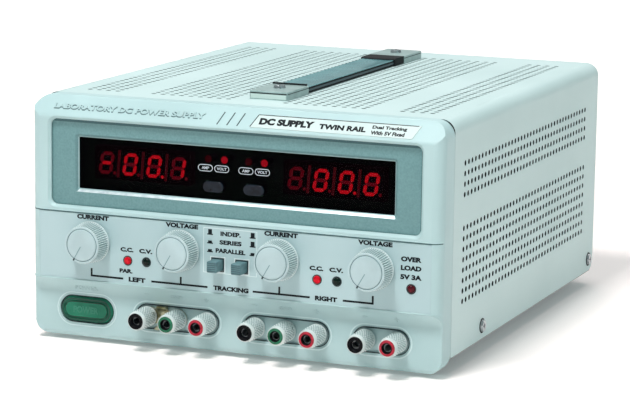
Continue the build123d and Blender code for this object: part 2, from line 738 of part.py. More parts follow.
def make_handle():
    save(cap_shell(CAP_FRONT, 1), "handle_cap_front")
    save(cap_shell(CAP_REAR, -1), "handle_cap_rear")
    start, end = CAP_FRONT + 6, CAP_REAR + CAP_L - 6
    middle = (HANDLE_X, y_at((start + end) / 2))
    inlay_l = CAP_REAR - CAP_FRONT - CAP_L - 4
    with BuildPart() as handle_strap:
        with BuildSketch(Plane.XY.offset(STRAP_LOW)):
            with Locations(middle):
                RectangleRounded(STRAP_W, end - start, 2)
            with Locations(*handle_screws()):
                SlotOverall(16, 2 * SCREW_HOLE + 0.4, rotation=90, mode=Mode.SUBTRACT)
        extrude(amount=STRAP_T)
        with BuildSketch(Plane.XY.offset(STRAP_LOW + STRAP_T)):
            with Locations(middle):
                Rectangle(INLAY_W + 0.2, inlay_l + 0.2)
        extrude(amount=-INLAY_INSET, mode=Mode.SUBTRACT)
    save(handle_strap.part, "handle_strap")

    with BuildPart() as handle_inlay:
        with BuildSketch(Plane.XY.offset(STRAP_LOW + STRAP_T - INLAY_INSET)):
            with Locations(middle):
                Rectangle(INLAY_W, inlay_l)
        extrude(amount=INLAY_INSET + 0.2)
    save(handle_inlay.part, "handle_inlay")


def screw_planes():
    """Where each machine screw's head seats, with the plane's normal out of the head."""
    planes = []
    for side in (-1, 1):
        for d, z in COVER_SCREWS:
            planes.append(Plane(origin=(side * CASE_W / 2, y_at(d), z), z_dir=(side, 0, 0)))
    for x, y in handle_screws():
        planes.append(Plane(origin=(x, y, CASE_TOP + CAP_H), z_dir=(0, 0, 1)))
    for x, z in REAR_SCREWS + fan_screw_places():
        planes.append(Plane(origin=(x, y_at(REAR_PANEL + PLATE), z), z_dir=(0, 1, 0)))
    return planes


def make_screws():
    """Identical pan-head machine screws with a cross recess."""
    with BuildPart() as case_screws:
        for plane in screw_planes():
            with BuildSketch(plane):
                Circle(SCREW_HEAD_R)
            extrude(amount=SCREW_HEAD_H, taper=12)
            with BuildSketch(plane):
                Circle(SCREW_R)
            extrude(amount=-SCREW_L)
            with BuildSketch(plane.offset(SCREW_HEAD_H)):
                Rectangle(3.6, 0.8)
                Rectangle(0.8, 3.6)
            extrude(amount=-0.9, mode=Mode.SUBTRACT)
    save(case_screws.part, "case_screws")


def make_transformer():
    """Laminated core with its windings on the middle limb, bolted to the floor."""
    x, d, z = -66.0, 150.0, TRAY_TOP + 46.0
    core_w, core_h, core_d = 104.0, 90.0, 50.0
    with BuildPart() as transformer_core:
        with BuildSketch(facing(d - core_d / 2)):
            with Locations((x, z)):
                Rectangle(core_w, core_h)
            with Locations((x - 26, z), (x + 26, z)):
                Rectangle(20, core_h - 34, mode=Mode.SUBTRACT)
        extrude(amount=-core_d)
        with BuildSketch(Plane.XY.offset(TRAY_TOP)):
            with Locations((x, y_at(d))):
                Rectangle(core_w, core_d + 24)
        extrude(amount=2)
    save(transformer_core.part, "transformer_core")

    with BuildPart() as transformer_windings:
        with BuildSketch(Plane.XY.offset(z - core_h / 2 + 17.5)):
            with Locations((x, y_at(d))):
                RectangleRounded(71, core_d + 38, 14)
                Rectangle(32.6, core_d + 0.6, mode=Mode.SUBTRACT)
        extrude(amount=core_h - 35)
    save(transformer_windings.part, "transformer_windings")


def make_electronics():
    with BuildPart() as main_board:
        with BuildSketch(Plane.XY.offset(TRAY_TOP + 8)):
            with Locations((BOARD_X, y_at(BOARD_D))):
                Rectangle(110, 200)
        extrude(amount=1.6)
        with BuildSketch(Plane.XY.offset(TRAY_TOP)):
            with Locations((BOARD_X, y_at(BOARD_D))):
                with GridLocations(100, 190, 2, 2):
                    Circle(3)
        extrude(amount=8)
    save(main_board.part, "main_board")

    with BuildPart() as capacitors:
        with BuildSketch(Plane.XY.offset(TRAY_TOP + 9.6)):
            with Locations((BOARD_X - 12, y_at(BOARD_D + 22))):
                with GridLocations(36, 40, 2, 3):
                    Circle(15)
        extrude(amount=52)
        fillet(capacitors.edges().group_by(Axis.Z)[-1], 1.5)
    save(capacitors.part, "capacitors")


def make_heat_sink():
    """Black extrusion on the rear panel: a base plate and upright fins."""
    fins = 13
    with BuildPart() as heat_sink:
        with BuildSketch(Plane.XY.offset(SINK_Z - SINK_H / 2)):
            with Locations((SINK_X, y_at(REAR_PANEL + PLATE + 2.5))):
                Rectangle(SINK_W, 5)
            with Locations((SINK_X, y_at((REAR_PANEL + PLATE + SINK_BACK) / 2))):
                with GridLocations((SINK_W - 2) / (fins - 1), 0, fins, 1):
                    Rectangle(2, SINK_BACK - REAR_PANEL - PLATE)
        extrude(amount=SINK_H)
    save(heat_sink.part, "heat_sink")

    with BuildPart() as power_transistors:
        with BuildSketch(facing(REAR_PANEL + PLATE - 5)):
            with Locations((SINK_X, SINK_Z)):
                with GridLocations(22, 34, 3, 2):
                    Rectangle(16, 21)
        extrude(amount=-5)
        with BuildSketch(facing(REAR_PANEL + PLATE - 3)):
            with Locations((SINK_X, SINK_Z - 14)):
                with GridLocations(22, 34, 3, 2):
                    with Locations((-5, 0), (0, 0), (5, 0)):
                        Rectangle(1.2, 10)
        extrude(amount=-0.8)
    save(power_transistors.part, "power_transistors")


def make_fan():
    front = REAR_PANEL - FAN_D
    with BuildPart() as fan_frame:
        with BuildSketch(facing(front)):
            with Locations((FAN_X, FAN_Z)):
                RectangleRounded(FAN_SIZE, FAN_SIZE, 4)
                Circle(FAN_SIZE / 2 - 2, mode=Mode.SUBTRACT)
            with Locations(*fan_screw_places()):
                Circle(SCREW_HOLE, mode=Mode.SUBTRACT)
        extrude(amount=-FAN_D)
        with BuildSketch(facing(front)):
            with Locations((FAN_X, FAN_Z)):
                Circle(18)
                for angle in (45, 135):
                    Rectangle(FAN_SIZE, 4, rotation=angle)
                Circle(FAN_PIN_R + RUNNING, mode=Mode.SUBTRACT)
        extrude(amount=-3)
    save(fan_frame.part, "fan_frame")

    with BuildPart() as fan_rotor:
        with BuildSketch(facing(front + 4)):
            with Locations((FAN_X, FAN_Z)):
                Circle(17.5)
        extrude(amount=-18)
        for i in range(7):
            blade = facing(front + 13).location * Location((FAN_X, FAN_Z, 0), (0, 0, i * 360 / 7))
            with BuildSketch(Plane(blade * Location((0, 0, 0), (38, 0, 0)))):
                with Locations((26.5, 0)):
                    Rectangle(19, 20)
            extrude(amount=0.8, both=True)
        with BuildSketch(facing(front + 0.5)):
            with Locations((FAN_X, FAN_Z)):
                Circle(FAN_PIN_R)
        extrude(amount=-4)
    save(fan_rotor.part, "fan_rotor")


def make_inlet():
    """Three-pin appliance inlet: a flanged body with a recess and three flat pins."""
    rear = REAR_PANEL + PLATE
    with BuildPart() as mains_inlet:
        with BuildSketch(facing(rear)):
            with Locations((INLET_X, INLET_Z)):
                RectangleRounded(INLET_W + 10, INLET_H + 3, 2)
        extrude(amount=-3)
        with BuildSketch(facing(rear)):
            with Locations((INLET_X, INLET_Z)):
                Rectangle(INLET_W, INLET_H)
        extrude(amount=20)
        with BuildSketch(facing(rear + 3)):
            with Locations((INLET_X, INLET_Z)):
                Rectangle(INLET_W - 3, INLET_H - 3)
        extrude(amount=20, mode=Mode.SUBTRACT)
        with BuildSketch(facing(rear - 17.5)):
            with Locations((INLET_X - 7, INLET_Z - 2), (INLET_X + 7, INLET_Z - 2)):
                Rectangle(2, 4)
            with Locations((INLET_X, INLET_Z + 2)):
                Rectangle(2, 4)
        extrude(amount=-14.5)
    save(mains_inlet.part, "mains_inlet")


def main():
    os.makedirs("parts", exist_ok=True)
    make_tray()
    make_cover()
    make_bezel()
    make_rear_panel()
    make_display()
    make_leds()
    make_control_panel()
    make_name_plate()
    for x, name in zip(KNOB_X, KNOB_NAMES):
        make_knob(x, name)
    make_potentiometers()
    make_buttons()
    make_push_switches()
    make_posts()
    make_handle()
    make_screws()
    make_feet()
    make_transformer()
    make_electronics()
    make_heat_sink()
    make_fan()
    make_inlet()


main()
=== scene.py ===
"""The bench power supply: finishes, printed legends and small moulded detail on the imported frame."""

import math

import bmesh
import bpy
from mathutils import Matrix, Vector


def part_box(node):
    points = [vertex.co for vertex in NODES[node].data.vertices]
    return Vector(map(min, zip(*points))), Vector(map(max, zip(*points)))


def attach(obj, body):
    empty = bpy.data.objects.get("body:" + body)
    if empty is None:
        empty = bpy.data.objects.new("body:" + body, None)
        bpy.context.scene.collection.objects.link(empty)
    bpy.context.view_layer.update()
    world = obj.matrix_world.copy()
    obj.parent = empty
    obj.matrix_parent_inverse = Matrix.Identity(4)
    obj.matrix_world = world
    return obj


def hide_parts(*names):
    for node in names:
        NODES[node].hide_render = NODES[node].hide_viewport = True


MM = 0.001
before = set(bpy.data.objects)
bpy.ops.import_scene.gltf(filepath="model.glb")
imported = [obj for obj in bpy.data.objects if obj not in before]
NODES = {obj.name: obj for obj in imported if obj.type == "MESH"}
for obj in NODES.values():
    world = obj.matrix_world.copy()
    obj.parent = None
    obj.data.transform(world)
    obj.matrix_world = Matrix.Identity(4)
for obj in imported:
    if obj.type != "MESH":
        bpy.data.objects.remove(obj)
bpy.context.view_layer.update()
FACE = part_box("front_bezel")[0].y
CASE_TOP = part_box("front_bezel")[1].z / MM

def front_of(node):
    """How far a node's front stands behind the bezel's face, in millimetres."""
    return (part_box(node)[0].y - FACE) / MM


SURROUND_FACE = front_of("display_surround")
WINDOW_FACE = front_of("display_window")
BOARD_FACE = front_of("display_board")
REAR_FACE = (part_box("rear_panel")[1].y - FACE) / MM
HALF_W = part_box("front_bezel")[1].x / MM

# Sloping strip over the display, as set out in the CAD: low front edge and depth at the top
FACET_LOW, FACET_DEEP = 134.0, 10.4
COVE_TOP, COVE_LOW, COVE_DEEP = 37.2, 28.5, 5.0
# Upright front corners of the bezel in plan: the arc's centre from the corner, its radius, and where it
# meets the face, in degrees
CORNER_IN, CORNER_ARC, CORNER_END = 6.902, 6.961, 262.56
WINDOW = (-98.0, 91.5, 98.0, 121.7)
WINDOW_BEVEL = 1.9
RECESS = (-114.8, 81.5, 114.8, 132.0)
POST_SLOTS = ((-35.4, 3), (33.0, 3), (90.9, 2))
POST_PITCH, SLOT_TALL, SLOT_Z = 19.05, 14.8, 19.1
POWER_SLOT = (-93.5, 19.3, 35.0, 16.4)
POINTER_DEG = 240.0
COVER_BEND = 8.0
COVER_SCREWS = ((73.5, 17.5), (289.0, 17.5))
KNOBS = ["left_current", "left_voltage", "right_current", "right_voltage"]
POSTS = range(1, 9)
SEGMENTS = {"0": "abcdef", "1": "bc", "-": "g", " ": ""}
DIGIT_PITCH, DIGIT_TALL, DIGIT_WIDE, BAR = 15.25, 13.2, 8.7, 2.0
DIGITS_X, DIGIT_Z = 59.5, 107.0
TRACKING_X = 7.5
# Height of the printed line that ties the two knobs of a channel together
TIE_Z = 41.2
PLATE_THICK = 0.4
# How far printed ink stands up, and how far every laid plate goes under its surface
INK, SUNK = 0.05, -0.02


# ---- shape helpers ----


def at(x, d, z):
    """A point given in millimetres: across, behind the bezel's face, and up."""
    return Vector((x * MM, FACE + d * MM, z * MM))


def facing(depth):
    """A surface for laying things on: upright, facing forwards, this far behind the bezel's face."""
    return lambda x, z, lift: at(x, depth - lift, z)


on_panel = facing(front_of("control_panel"))
on_window = facing(WINDOW_FACE)
on_digits = facing(front_of("digit_modules"))
on_power = facing(front_of("power_button"))
on_tracking = facing(front_of("tracking_button_left"))
# The bezel's lower face stands back under the scooped band
on_lower = facing(COVE_DEEP)


def on_facet(x, s, lift):
    """A point on the sloping strip: across, and s millimetres up the slope."""
    slope = Vector((0, FACET_DEEP, CASE_TOP - FACET_LOW)).normalized()
    out = Vector((0, -slope.z, slope.y))
    return at(x, 0, FACET_LOW) + (slope * s + out * lift) * MM


def on_plate(x, s, lift):
    return on_facet(x, s, PLATE_THICK + lift)


def on_cove(x, z, lift):
    """A point on the scooped band over the terminals."""
    t = (COVE_TOP - z) / (COVE_TOP - COVE_LOW)
    depth = COVE_DEEP * math.sqrt(max(0.0, 1 - (1 - t) ** 2.2))
    return at(x, depth - lift, z)


def on_rear(x, z, lift):
    return at(-x, REAR_FACE + lift, z)


def limits(node):
    """A node's box in millimetres: across, depth and height, low then high."""
    low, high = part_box(node)
    return (low.x / MM, (low.y - FACE) / MM, low.z / MM), (high.x / MM, (high.y - FACE) / MM, high.z / MM)


def finish_mesh(bm, name, material, body="case", angle=35.0):
    """Turns a bmesh into a piece that rides on a body, shaded smooth up to an angle."""
    bmesh.ops.recalc_face_normals(bm, faces=bm.faces)
    mesh = bpy.data.meshes.new(name)
    bm.to_mesh(mesh)
    bm.free()
    mesh.shade_smooth()
    mesh.set_sharp_from_angle(angle=math.radians(angle))
    piece = bpy.data.objects.new(name, mesh)
    bpy.context.scene.collection.objects.link(piece)
    for one in material if isinstance(material, list) else [material]:
        mesh.materials.append(one)
    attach(piece, body)
    return piece


def add_plate(bm, outline, surface, lift=INK):
    """A thin closed plate with this outline of (across, up) points, laid on a surface."""
    top = [bm.verts.new(surface(x, z, lift)) for x, z in outline]
    low = [bm.verts.new(surface(x, z, SUNK)) for x, z in outline]
    bm.faces.new(top)
    bm.faces.new(list(reversed(low)))
    for i in range(len(outline)):
        j = (i + 1) % len(outline)
        bm.faces.new((top[i], low[i], low[j], top[j]))


def box_outline(x0, z0, x1, z1):
    return [(x0, z0), (x1, z0), (x1, z1), (x0, z1)]


def add_prism(bm, rings):
    """A closed solid through matching rings of points, capped at both ends."""
    rows = [[bm.verts.new(point) for point in ring] for ring in rings]
    for a, b in zip(rows, rows[1:]):
        for i in range(len(a)):
            j = (i + 1) % len(a)
            bm.faces.new((a[i], a[j], b[j], b[i]))
    bm.faces.new(rows[0])
    bm.faces.new(list(reversed(rows[-1])))


def add_run(bm, axis, ends, section):
    """A bar along "x", "d" or "z" between two ends; its section lists the other two coordinates."""
    place = {"x": lambda t, u, w: at(t, u, w),
             "d": lambda t, u, w: at(u, t, w),
             "z": lambda t, u, w: at(u, w, t)}[axis]
    add_prism(bm, [[place(t, u, w) for u, w in section] for t in ends])


def add_frame(bm, box, section):
    """A mitred frame round a box; the section lists (outward growth, depth) points."""
    x0, z0, x1, z1 = box
    corners = ((x0, z0, -1, -1), (x1, z0, 1, -1), (x1, z1, 1, 1), (x0, z1, -1, 1))
    rows = [[bm.verts.new(at(x + sx * grow, d, z + sz * grow)) for grow, d in section]
            for x, z, sx, sz in corners]
    for k in range(4):
        a, b = rows[k], rows[(k + 1) % 4]
        for i in range(len(section)):
            j = (i + 1) % len(section)
            bm.faces.new((a[i], a[j], b[j], b[i]))


def front_path(last=203.0, steps=8):
    """Stations (across, depth, outward x, outward d) over the face and round both upright corners."""
    stations = []
    for side in (-1, 1):
        corner = []
        for i in range(steps + 1):
            turn = math.radians(last + (CORNER_END - last) * i / steps)
            along = HALF_W - CORNER_IN - CORNER_ARC * math.cos(turn)
            depth = CORNER_IN + CORNER_ARC * math.sin(turn)
            corner.append((side * along, depth, -side * math.cos(turn), math.sin(turn)))
        stations += corner if side < 0 else list(reversed(corner))
    return stations


def add_band(bm, section):
    """A band along the front and round its corners; the section lists (lift, height) points."""
    add_prism(bm, [[at(x + out_x * lift, d + out_d * lift, z) for lift, z in section]
                   for x, d, out_x, out_d in front_path()])


def slot_outline(x, z, width, height, steps=10):
    """Points round an upright-ended oblong with fully round ends."""
    r = height / 2
    reach = width / 2 - r
    points = []
    for side in (1, -1):
        for i in range(steps + 1):
            turn = math.pi * (i / steps - 0.5) + (0 if side > 0 else math.pi)
            points.append((x + side * reach + r * math.cos(turn), z + r * math.sin(turn)))
    return points


def round_outline(x, z, size, steps=14):
    """A slot with next to no straight part, so that it matches other slots point for point."""
    return slot_outline(x, z, size, size - 0.001, steps)


def add_ring(bm, outer, inner, surface, lift=INK, sunk=SUNK):
    """A thin closed frame between two outlines of the same number of points."""
    levels = [[bm.verts.new(surface(x, z, h)) for x, z in line]
              for line in (outer, inner) for h in (lift, sunk)]
    outer_top, outer_low, inner_top, inner_low = levels
    for i in range(len(outer)):
        j = (i + 1) % len(outer)
        bm.faces.new((outer_top[i], outer_top[j], inner_top[j], inner_top[i]))
        bm.faces.new((outer_low[j], outer_low[i], inner_low[i], inner_low[j]))
        bm.faces.new((outer_top[j], outer_top[i], outer_low[i], outer_low[j]))
        bm.faces.new((inner_top[i], inner_top[j], inner_low[j], inner_low[i]))


def add_stroke(bm, a, b, width, surface, lift=INK):
    """A printed line from a to b."""
    (ax, az), (bx, bz) = a, b
    length = math.hypot(bx - ax, bz - az)
    nx, nz = -(bz - az) / length * width / 2, (bx - ax) / length * width / 2
    outline = [(ax + nx, az + nz), (bx + nx, bz + nz), (bx - nx, bz - nz), (ax - nx, az - nz)]
    add_plate(bm, outline, surface, lift)


def add_words(bm, text, x, z, width, height, surface, lift=INK, weight=0.012):
    """Generic lettering fitted into a width and height and laid on a surface."""
    curve = bpy.data.curves.new("words", "FONT")
    curve.body = text
    curve.extrude = 0.5
    curve.offset = weight
    curve.resolution_u = 3
    holder = bpy.data.objects.new("words", curve)
    bpy.context.scene.collection.objects.link(holder)
    graph = bpy.context.evaluated_depsgraph_get()
    mesh = bpy.data.meshes.new_from_object(holder.evaluated_get(graph))
    low = [min(v.co[k] for v in mesh.vertices) for k in (0, 1)]
    high = [max(v.co[k] for v in mesh.vertices) for k in (0, 1)]
    for v in mesh.vertices:
        u = x + ((v.co.x - low[0]) / (high[0] - low[0]) - 0.5) * width
        w = z + ((v.co.y - low[1]) / (high[1] - low[1]) - 0.5) * height
        v.co = surface(u, w, lift if v.co.z > 0 else SUNK)
    bm.from_mesh(mesh)
    bpy.data.objects.remove(holder)
    bpy.data.curves.remove(curve)
    bpy.data.meshes.remove(mesh)


def add_turned(bm, x, z, profile, count, swell=None, shade=None):
    """A surface of revolution about a front-to-back axis.

    swell gives an addition to the radius, and shade a material index, from (angle, row, depth).
    """
    rows = []
    for k, (d, r) in enumerate(profile):
        if r < 1e-6:
            rows.append([bm.verts.new(at(x, d, z))])
            continue
        row = []
        for i in range(count):
            turn = 2 * math.pi * i / count
            radius = r + (swell(turn, k, d) if swell else 0.0)
            row.append(bm.verts.new(at(x + radius * math.cos(turn), d, z + radius * math.sin(turn))))
        rows.append(row)
    for k in range(len(rows) - 1):
        a, b = rows[k], rows[k + 1]
        depth = (profile[k][0] + profile[k + 1][0]) / 2
        for i in range(count):
            j = (i + 1) % count
            if len(a) == 1:
                face = bm.faces.new((a[0], b[j], b[i]))
            elif len(b) == 1:
                face = bm.faces.new((a[i], a[j], b[0]))
            else:
                face = bm.faces.new((a[i], a[j], b[j], b[i]))
            face.material_index = shade(2 * math.pi * (i + 0.5) / count, k, depth) if shade else 0


# ---- material helpers ----


def srgb(r, g, b):
    """A screen colour out of 255 as the linear colour that a shader takes."""
    linear = [(c / 255 / 12.92) if c <= 10 else ((c / 255 + 0.055) / 1.055) ** 2.4 for c in (r, g, b)]
    return (*linear, 1.0)


SPECULAR = "Specular IOR Level"


def put(node, values):
    """Sets a node's own sockets from {name: value}."""
    for name, value in values.items():
        node.inputs[name].default_value = value


def wire(source, output, target, socket):
    source.id_data.links.new(source.outputs[output], target.inputs[socket])


def new_material(name, colour, roughness, metallic=0.0):
    material = bpy.data.materials.new(name)
    material.use_nodes = True
    shader = material.node_tree.nodes["Principled BSDF"]
    put(shader, {"Base Color": colour, "Roughness": roughness, "Metallic": metallic})
    return material, material.node_tree, shader


def noise(tree, scale, detail=4.0, stretch=(1, 1, 1)):
    """A noise pattern whose scale is in features to the metre."""
    place = tree.nodes.new("ShaderNodeTexCoord")
    mapping = tree.nodes.new("ShaderNodeMapping")
    pattern = tree.nodes.new("ShaderNodeTexNoise")
    put(mapping, {"Scale": stretch})
    put(pattern, {"Scale": scale, "Detail": detail})
    wire(place, "Object", mapping, "Vector")
    wire(mapping, "Vector", pattern, "Vector")
    return pattern.outputs["Fac"]


def tint(tree, shader, pattern, first, second, low=0.35, high=0.65, socket="Base Color"):
    """Colour that drifts between two near shades."""
    ramp = tree.nodes.new("ShaderNodeValToRGB")
    for stop, place, colour in zip(ramp.color_ramp.elements, (low, high), (first, second)):
        stop.position = place
        stop.color = colour
    tree.links.new(pattern, ramp.inputs["Fac"])
    tree.links.new(ramp.outputs["Color"], shader.inputs[socket])


def roughen(tree, shader, pattern, low, high):
    """Roughness that follows a pattern, as handled and dusty places do."""
    reach = tree.nodes.new("ShaderNodeMapRange")
    put(reach, {"To Min": low, "To Max": high})
    tree.links.new(pattern, reach.inputs["Value"])
    wire(reach, "Result", shader, "Roughness")


def emboss(tree, shader, pattern, strength, height, edge=0.0):
    """Fine surface relief, with the corners of the piece eased by the edge radius."""
    bump = tree.nodes.new("ShaderNodeBump")
    put(bump, {"Strength": strength, "Distance": height})
    tree.links.new(pattern, bump.inputs["Height"])
    if edge:
        eased = tree.nodes.new("ShaderNodeBevel")
        eased.samples = 4
        put(eased, {"Radius": edge})
        wire(eased, "Normal", bump, "Normal")
    wire(bump, "Normal", shader, "Normal")


def mottled(name, roughness, scale, first, second, rough=None, relief=None, sockets=None, detail=4.0,
            band=(0.35, 0.65)):
    """A material that drifts between two near screen colours, with so many patches to the metre.

    rough lists its pattern's scale, low and high; relief its scale, detail, strength, height and edge.
    """
    first, second = srgb(*first), srgb(*second)
    material, tree, shader = new_material(name, first, roughness)
    tint(tree, shader, noise(tree, scale, detail), first, second, *band)
    if rough:
        roughen(tree, shader, noise(tree, rough[0]), *rough[1:])
    if relief:
        emboss(tree, shader, noise(tree, *relief[:2]), *relief[2:])
    put(shader, sockets or {})
    return material


def grained(name, roughness, metallic, pattern, first, second, relief, band=(0.35, 0.65)):
    """A material whose colour and relief both follow one pattern, given as noise()'s arguments."""
    first, second = srgb(*first), srgb(*second)
    material, tree, shader = new_material(name, first, roughness, metallic)
    grain = noise(tree, *pattern)
    tint(tree, shader, grain, first, second, *band)
    emboss(tree, shader, grain, *relief)
    return material


def math_node(tree, operation, first, second):
    """One arithmetic node; the first input is a socket and the second a socket or a number."""
    node = tree.nodes.new("ShaderNodeMath")
    node.operation = operation
    tree.links.new(first, node.inputs[0])
    if isinstance(second, (int, float)):
        node.inputs[1].default_value = second
    else:
        tree.links.new(second, node.inputs[1])
    return node.outputs["Value"]


def blend_colours(tree, factor, first, second):
    """One mix node from the first colour to the second; each is a socket or a colour."""
    mix = tree.nodes.new("ShaderNodeMix")
    mix.data_type = "RGBA"
    tree.links.new(factor, mix.inputs["Factor"])
    for name, colour in (("A", first), ("B", second)):
        if isinstance(colour, tuple):
            mix.inputs[name].default_value = colour
        else:
            tree.links.new(colour, mix.inputs[name])
    return mix.outputs["Result"]


# ---- materials ----


def case_paint(name="case_paint"):
    """Pale grey-green stove paint with a fine orange-peel texture."""
    return mottled(name, 0.5, 9.0, (194, 216, 215), (202, 223, 222), (45.0, 0.42, 0.56),
                   (1500.0, 2.0, 0.25, 0.00004, 0.0004))


def cover_paint():
    """Folded cover: paint outside; painted shade under its skin makes the holes dark, less so at the top."""
    material = case_paint("cover_paint")
    tree = material.node_tree
    shader = tree.nodes["Principled BSDF"]
    place = tree.nodes.new("ShaderNodeNewGeometry")
    split = tree.nodes.new("ShaderNodeSeparateXYZ")
    wire(place, "Position", split, "Vector")
    bend, coat = COVER_BEND * MM, 0.12 * MM
    # Distance from the middle of the cover's bends tells the outer skin from everything under it
    sideways = math_node(tree, "ABSOLUTE", split.outputs["X"], 0.0)
    sideways = math_node(tree, "SUBTRACT", sideways, HALF_W * MM - bend)
    sideways = math_node(tree, "MAXIMUM", sideways, 0.0)
    upwards = math_node(tree, "SUBTRACT", split.outputs["Z"], CASE_TOP * MM - bend)
    upwards = math_node(tree, "MAXIMUM", upwards, 0.0)
    square = math_node(tree, "ADD", math_node(tree, "MULTIPLY", sideways, sideways),
                       math_node(tree, "MULTIPLY", upwards, upwards))
    outside = math_node(tree, "GREATER_THAN", square, (bend - coat) ** 2)
    on_top = math_node(tree, "GREATER_THAN", split.outputs["Z"], (CASE_TOP - 1.5) * MM)
    painted = shader.inputs["Base Color"].links[0].from_socket
    # Painted shade: near black under the outer skin, dark grey-green just under the top, so the holes read
    # dark
    painted_shade = blend_colours(tree, on_top, srgb(10, 16, 18), srgb(88, 108, 110))
    shown = blend_colours(tree, outside, painted_shade, painted)
    tree.links.new(shown, shader.inputs["Base Color"])
    return material


def bezel_plastic():
    """The moulded front frame: the same tone as the case, with a spark-eroded grain."""
    return mottled("bezel_plastic", 0.45, 14.0, (176, 203, 204), (184, 211, 212), (70.0, 0.38, 0.52),
                   (2200.0, 2.0, 0.2, 0.00003, 0.0005))


def surround_plastic():
    """Darker moulding round the window, with a mottled grain."""
    return mottled("surround_plastic", 0.5, 900.0, (100, 140, 142), (112, 152, 154), (60.0, 0.42, 0.58),
                   (1200.0, 3.0, 0.35, 0.00006, 0.0004), detail=3.0, band=(0.3, 0.7))


def window_filter():
    """Nearly black red filter, seen through to the digits."""
    material, tree, shader = new_material("window_filter", srgb(3, 2, 4), 0.1)
    roughen(tree, shader, noise(tree, 30.0), 0.08, 0.15)
    put(shader, {"Alpha": 0.66, SPECULAR: 0.015})
    return material


def panel_paint():
    """Satin paint of the printed control plate."""
    return mottled("panel_paint", 0.42, 12.0, (174, 199, 202), (182, 206, 209), (90.0, 0.36, 0.48),
                   (2600.0, 2.0, 0.12, 0.00002, 0.0002))


def plate_white():
    """The pale printed name plate."""
    return mottled("plate_white", 0.35, 20.0, (201, 216, 215), (210, 224, 222),
                   relief=(1800.0, 2.0, 0.1, 0.00002))


def knob_plastic(name, tone):
    """Satin moulding, glossier where fingers polish it."""
    return mottled(name, 0.4, 60.0, [c - 5 for c in tone], [c + 5 for c in tone], (120.0, 0.32, 0.48),
                   (2400.0, 2.0, 0.15, 0.00003))


def line_paint(name, r, g, b):
    """Matt paint for thin lines, printed edges and shaded grooves."""
    material, tree, shader = new_material(name, srgb(r, g, b), 0.6)
    roughen(tree, shader, noise(tree, 200.0), 0.5, 0.7)
    return material


def printed_ink():
    """Dark silk-screened ink, thinner in places."""
    return mottled("printed_ink", 0.5, 900.0, (5, 13, 18), (14, 26, 32), sockets={SPECULAR: 0.2})


def printed_white():
    """White silk-screened ink on the window."""
    return mottled("printed_white", 0.5, 900.0, (190, 203, 212), (216, 224, 230))


def button_grey():
    """Mid-grey moulding of the tracking buttons."""
    return mottled("button_grey", 0.4, 220.0, (78, 116, 123), (98, 136, 141),
                   relief=(2500.0, 2.0, 0.15, 0.00003))


def power_green():
    """Deep green satin button."""
    return mottled("power_green", 0.4, 90.0, (18, 106, 80), (32, 126, 97),
                   relief=(1400.0, 2.0, 0.08, 0.00002), sockets={SPECULAR: 0.3})


def switch_dark():
    """Nearly black buttons under the unit lamps."""
    return mottled("switch_dark", 0.24, 300.0, (10, 15, 24), (20, 29, 40), sockets={SPECULAR: 0.2})


def post_plastic():
    """Pale moulding of the binding posts' caps, with a patchy roughness."""
    return mottled("post_plastic", 0.42, 240.0, (208, 218, 216), (226, 232, 230), (150.0, 0.36, 0.5))


def ring_plastic(name, deep, colour, shine=0.4):
    """The coloured ring of a post."""
    return mottled(name, 0.35, 350.0, deep, colour, relief=(1600.0, 2.0, 0.1, 0.00002),
                   sockets={SPECULAR: shine})


def metal(name, deep, colour, roughness, edge=0.0):
    """Bare or plated metal with a fine grain."""
    material, tree, shader = new_material(name, srgb(*colour), roughness, 1.0)
    grain = noise(tree, 300.0, 6.0)
    tint(tree, shader, grain, srgb(*deep), srgb(*colour))
    roughen(tree, shader, grain, roughness - 0.07, roughness + 0.07)
    emboss(tree, shader, grain, 0.15, 0.00003, edge)
    return material


def cap_metal():
    """Satin cast ends of the handle, near in tone to the case."""
    return mottled("cap_metal", 0.3, 120.0, (150, 172, 169), (166, 188, 185),
                   relief=(1300.0, 3.0, 0.2, 0.00004, 0.0003), sockets={"Coat Weight": 0.25})


def foot_grey():
    """Grey moulded feet."""
    return mottled("foot_grey", 0.6, 150.0, (140, 153, 153), (162, 174, 174),
                   relief=(1100.0, 4.0, 0.3, 0.00005, 0.0003))


def black_rubber():
    """The strap's body and collars, dull and slightly pitted."""
    return mottled("black_rubber", 0.6, 120.0, (14, 17, 20), (26, 31, 34), (80.0, 0.5, 0.72),
                   (1100.0, 4.0, 0.3, 0.00005, 0.0003), {SPECULAR: 0.15})


def inlay_vinyl():
    """Glossy grey-green vinyl on top of the strap."""
    return mottled("inlay_vinyl", 0.24, 40.0, (80, 134, 140), (98, 152, 156), (60.0, 0.2, 0.34),
                   (1500.0, 4.0, 0.12, 0.00003), {"Coat Weight": 0.35})


def core_iron():
    """Stacked varnished laminations."""
    return grained("core_iron", 0.45, 0.6, (40.0, 1.0, (1, 60, 1)), (38, 37, 38), (82, 79, 77),
                   (0.5, 0.0001), (0.45, 0.55))


def winding_tape():
    """Turns of yellow tape over the windings."""
    return grained("winding_tape", 0.5, 0.0, (40.0, 2.0, (1, 1, 30)), (150, 112, 44), (196, 160, 82),
                   (0.4, 0.0001), (0.4, 0.6))


def board_green():
    """Solder resist over copper tracks."""
    return mottled("board_green", 0.35, 500.0, (30, 92, 56), (52, 118, 76),
                   relief=(500.0, 4.0, 0.3, 0.00004), band=(0.48, 0.52))


def sleeve_dark():
    """Shrink sleeve of the reservoir capacitors."""
    return mottled("sleeve_dark", 0.3, 60.0, (34, 40, 54), (48, 54, 70))


def black_aluminium():
    """Anodised fins with an extruded grain."""
    return grained("black_aluminium", 0.42, 0.7, (200.0, 4.0, (1, 1, 0.04)), (26, 28, 30), (48, 50, 52),
                   (0.2, 0.00004, 0.0002))


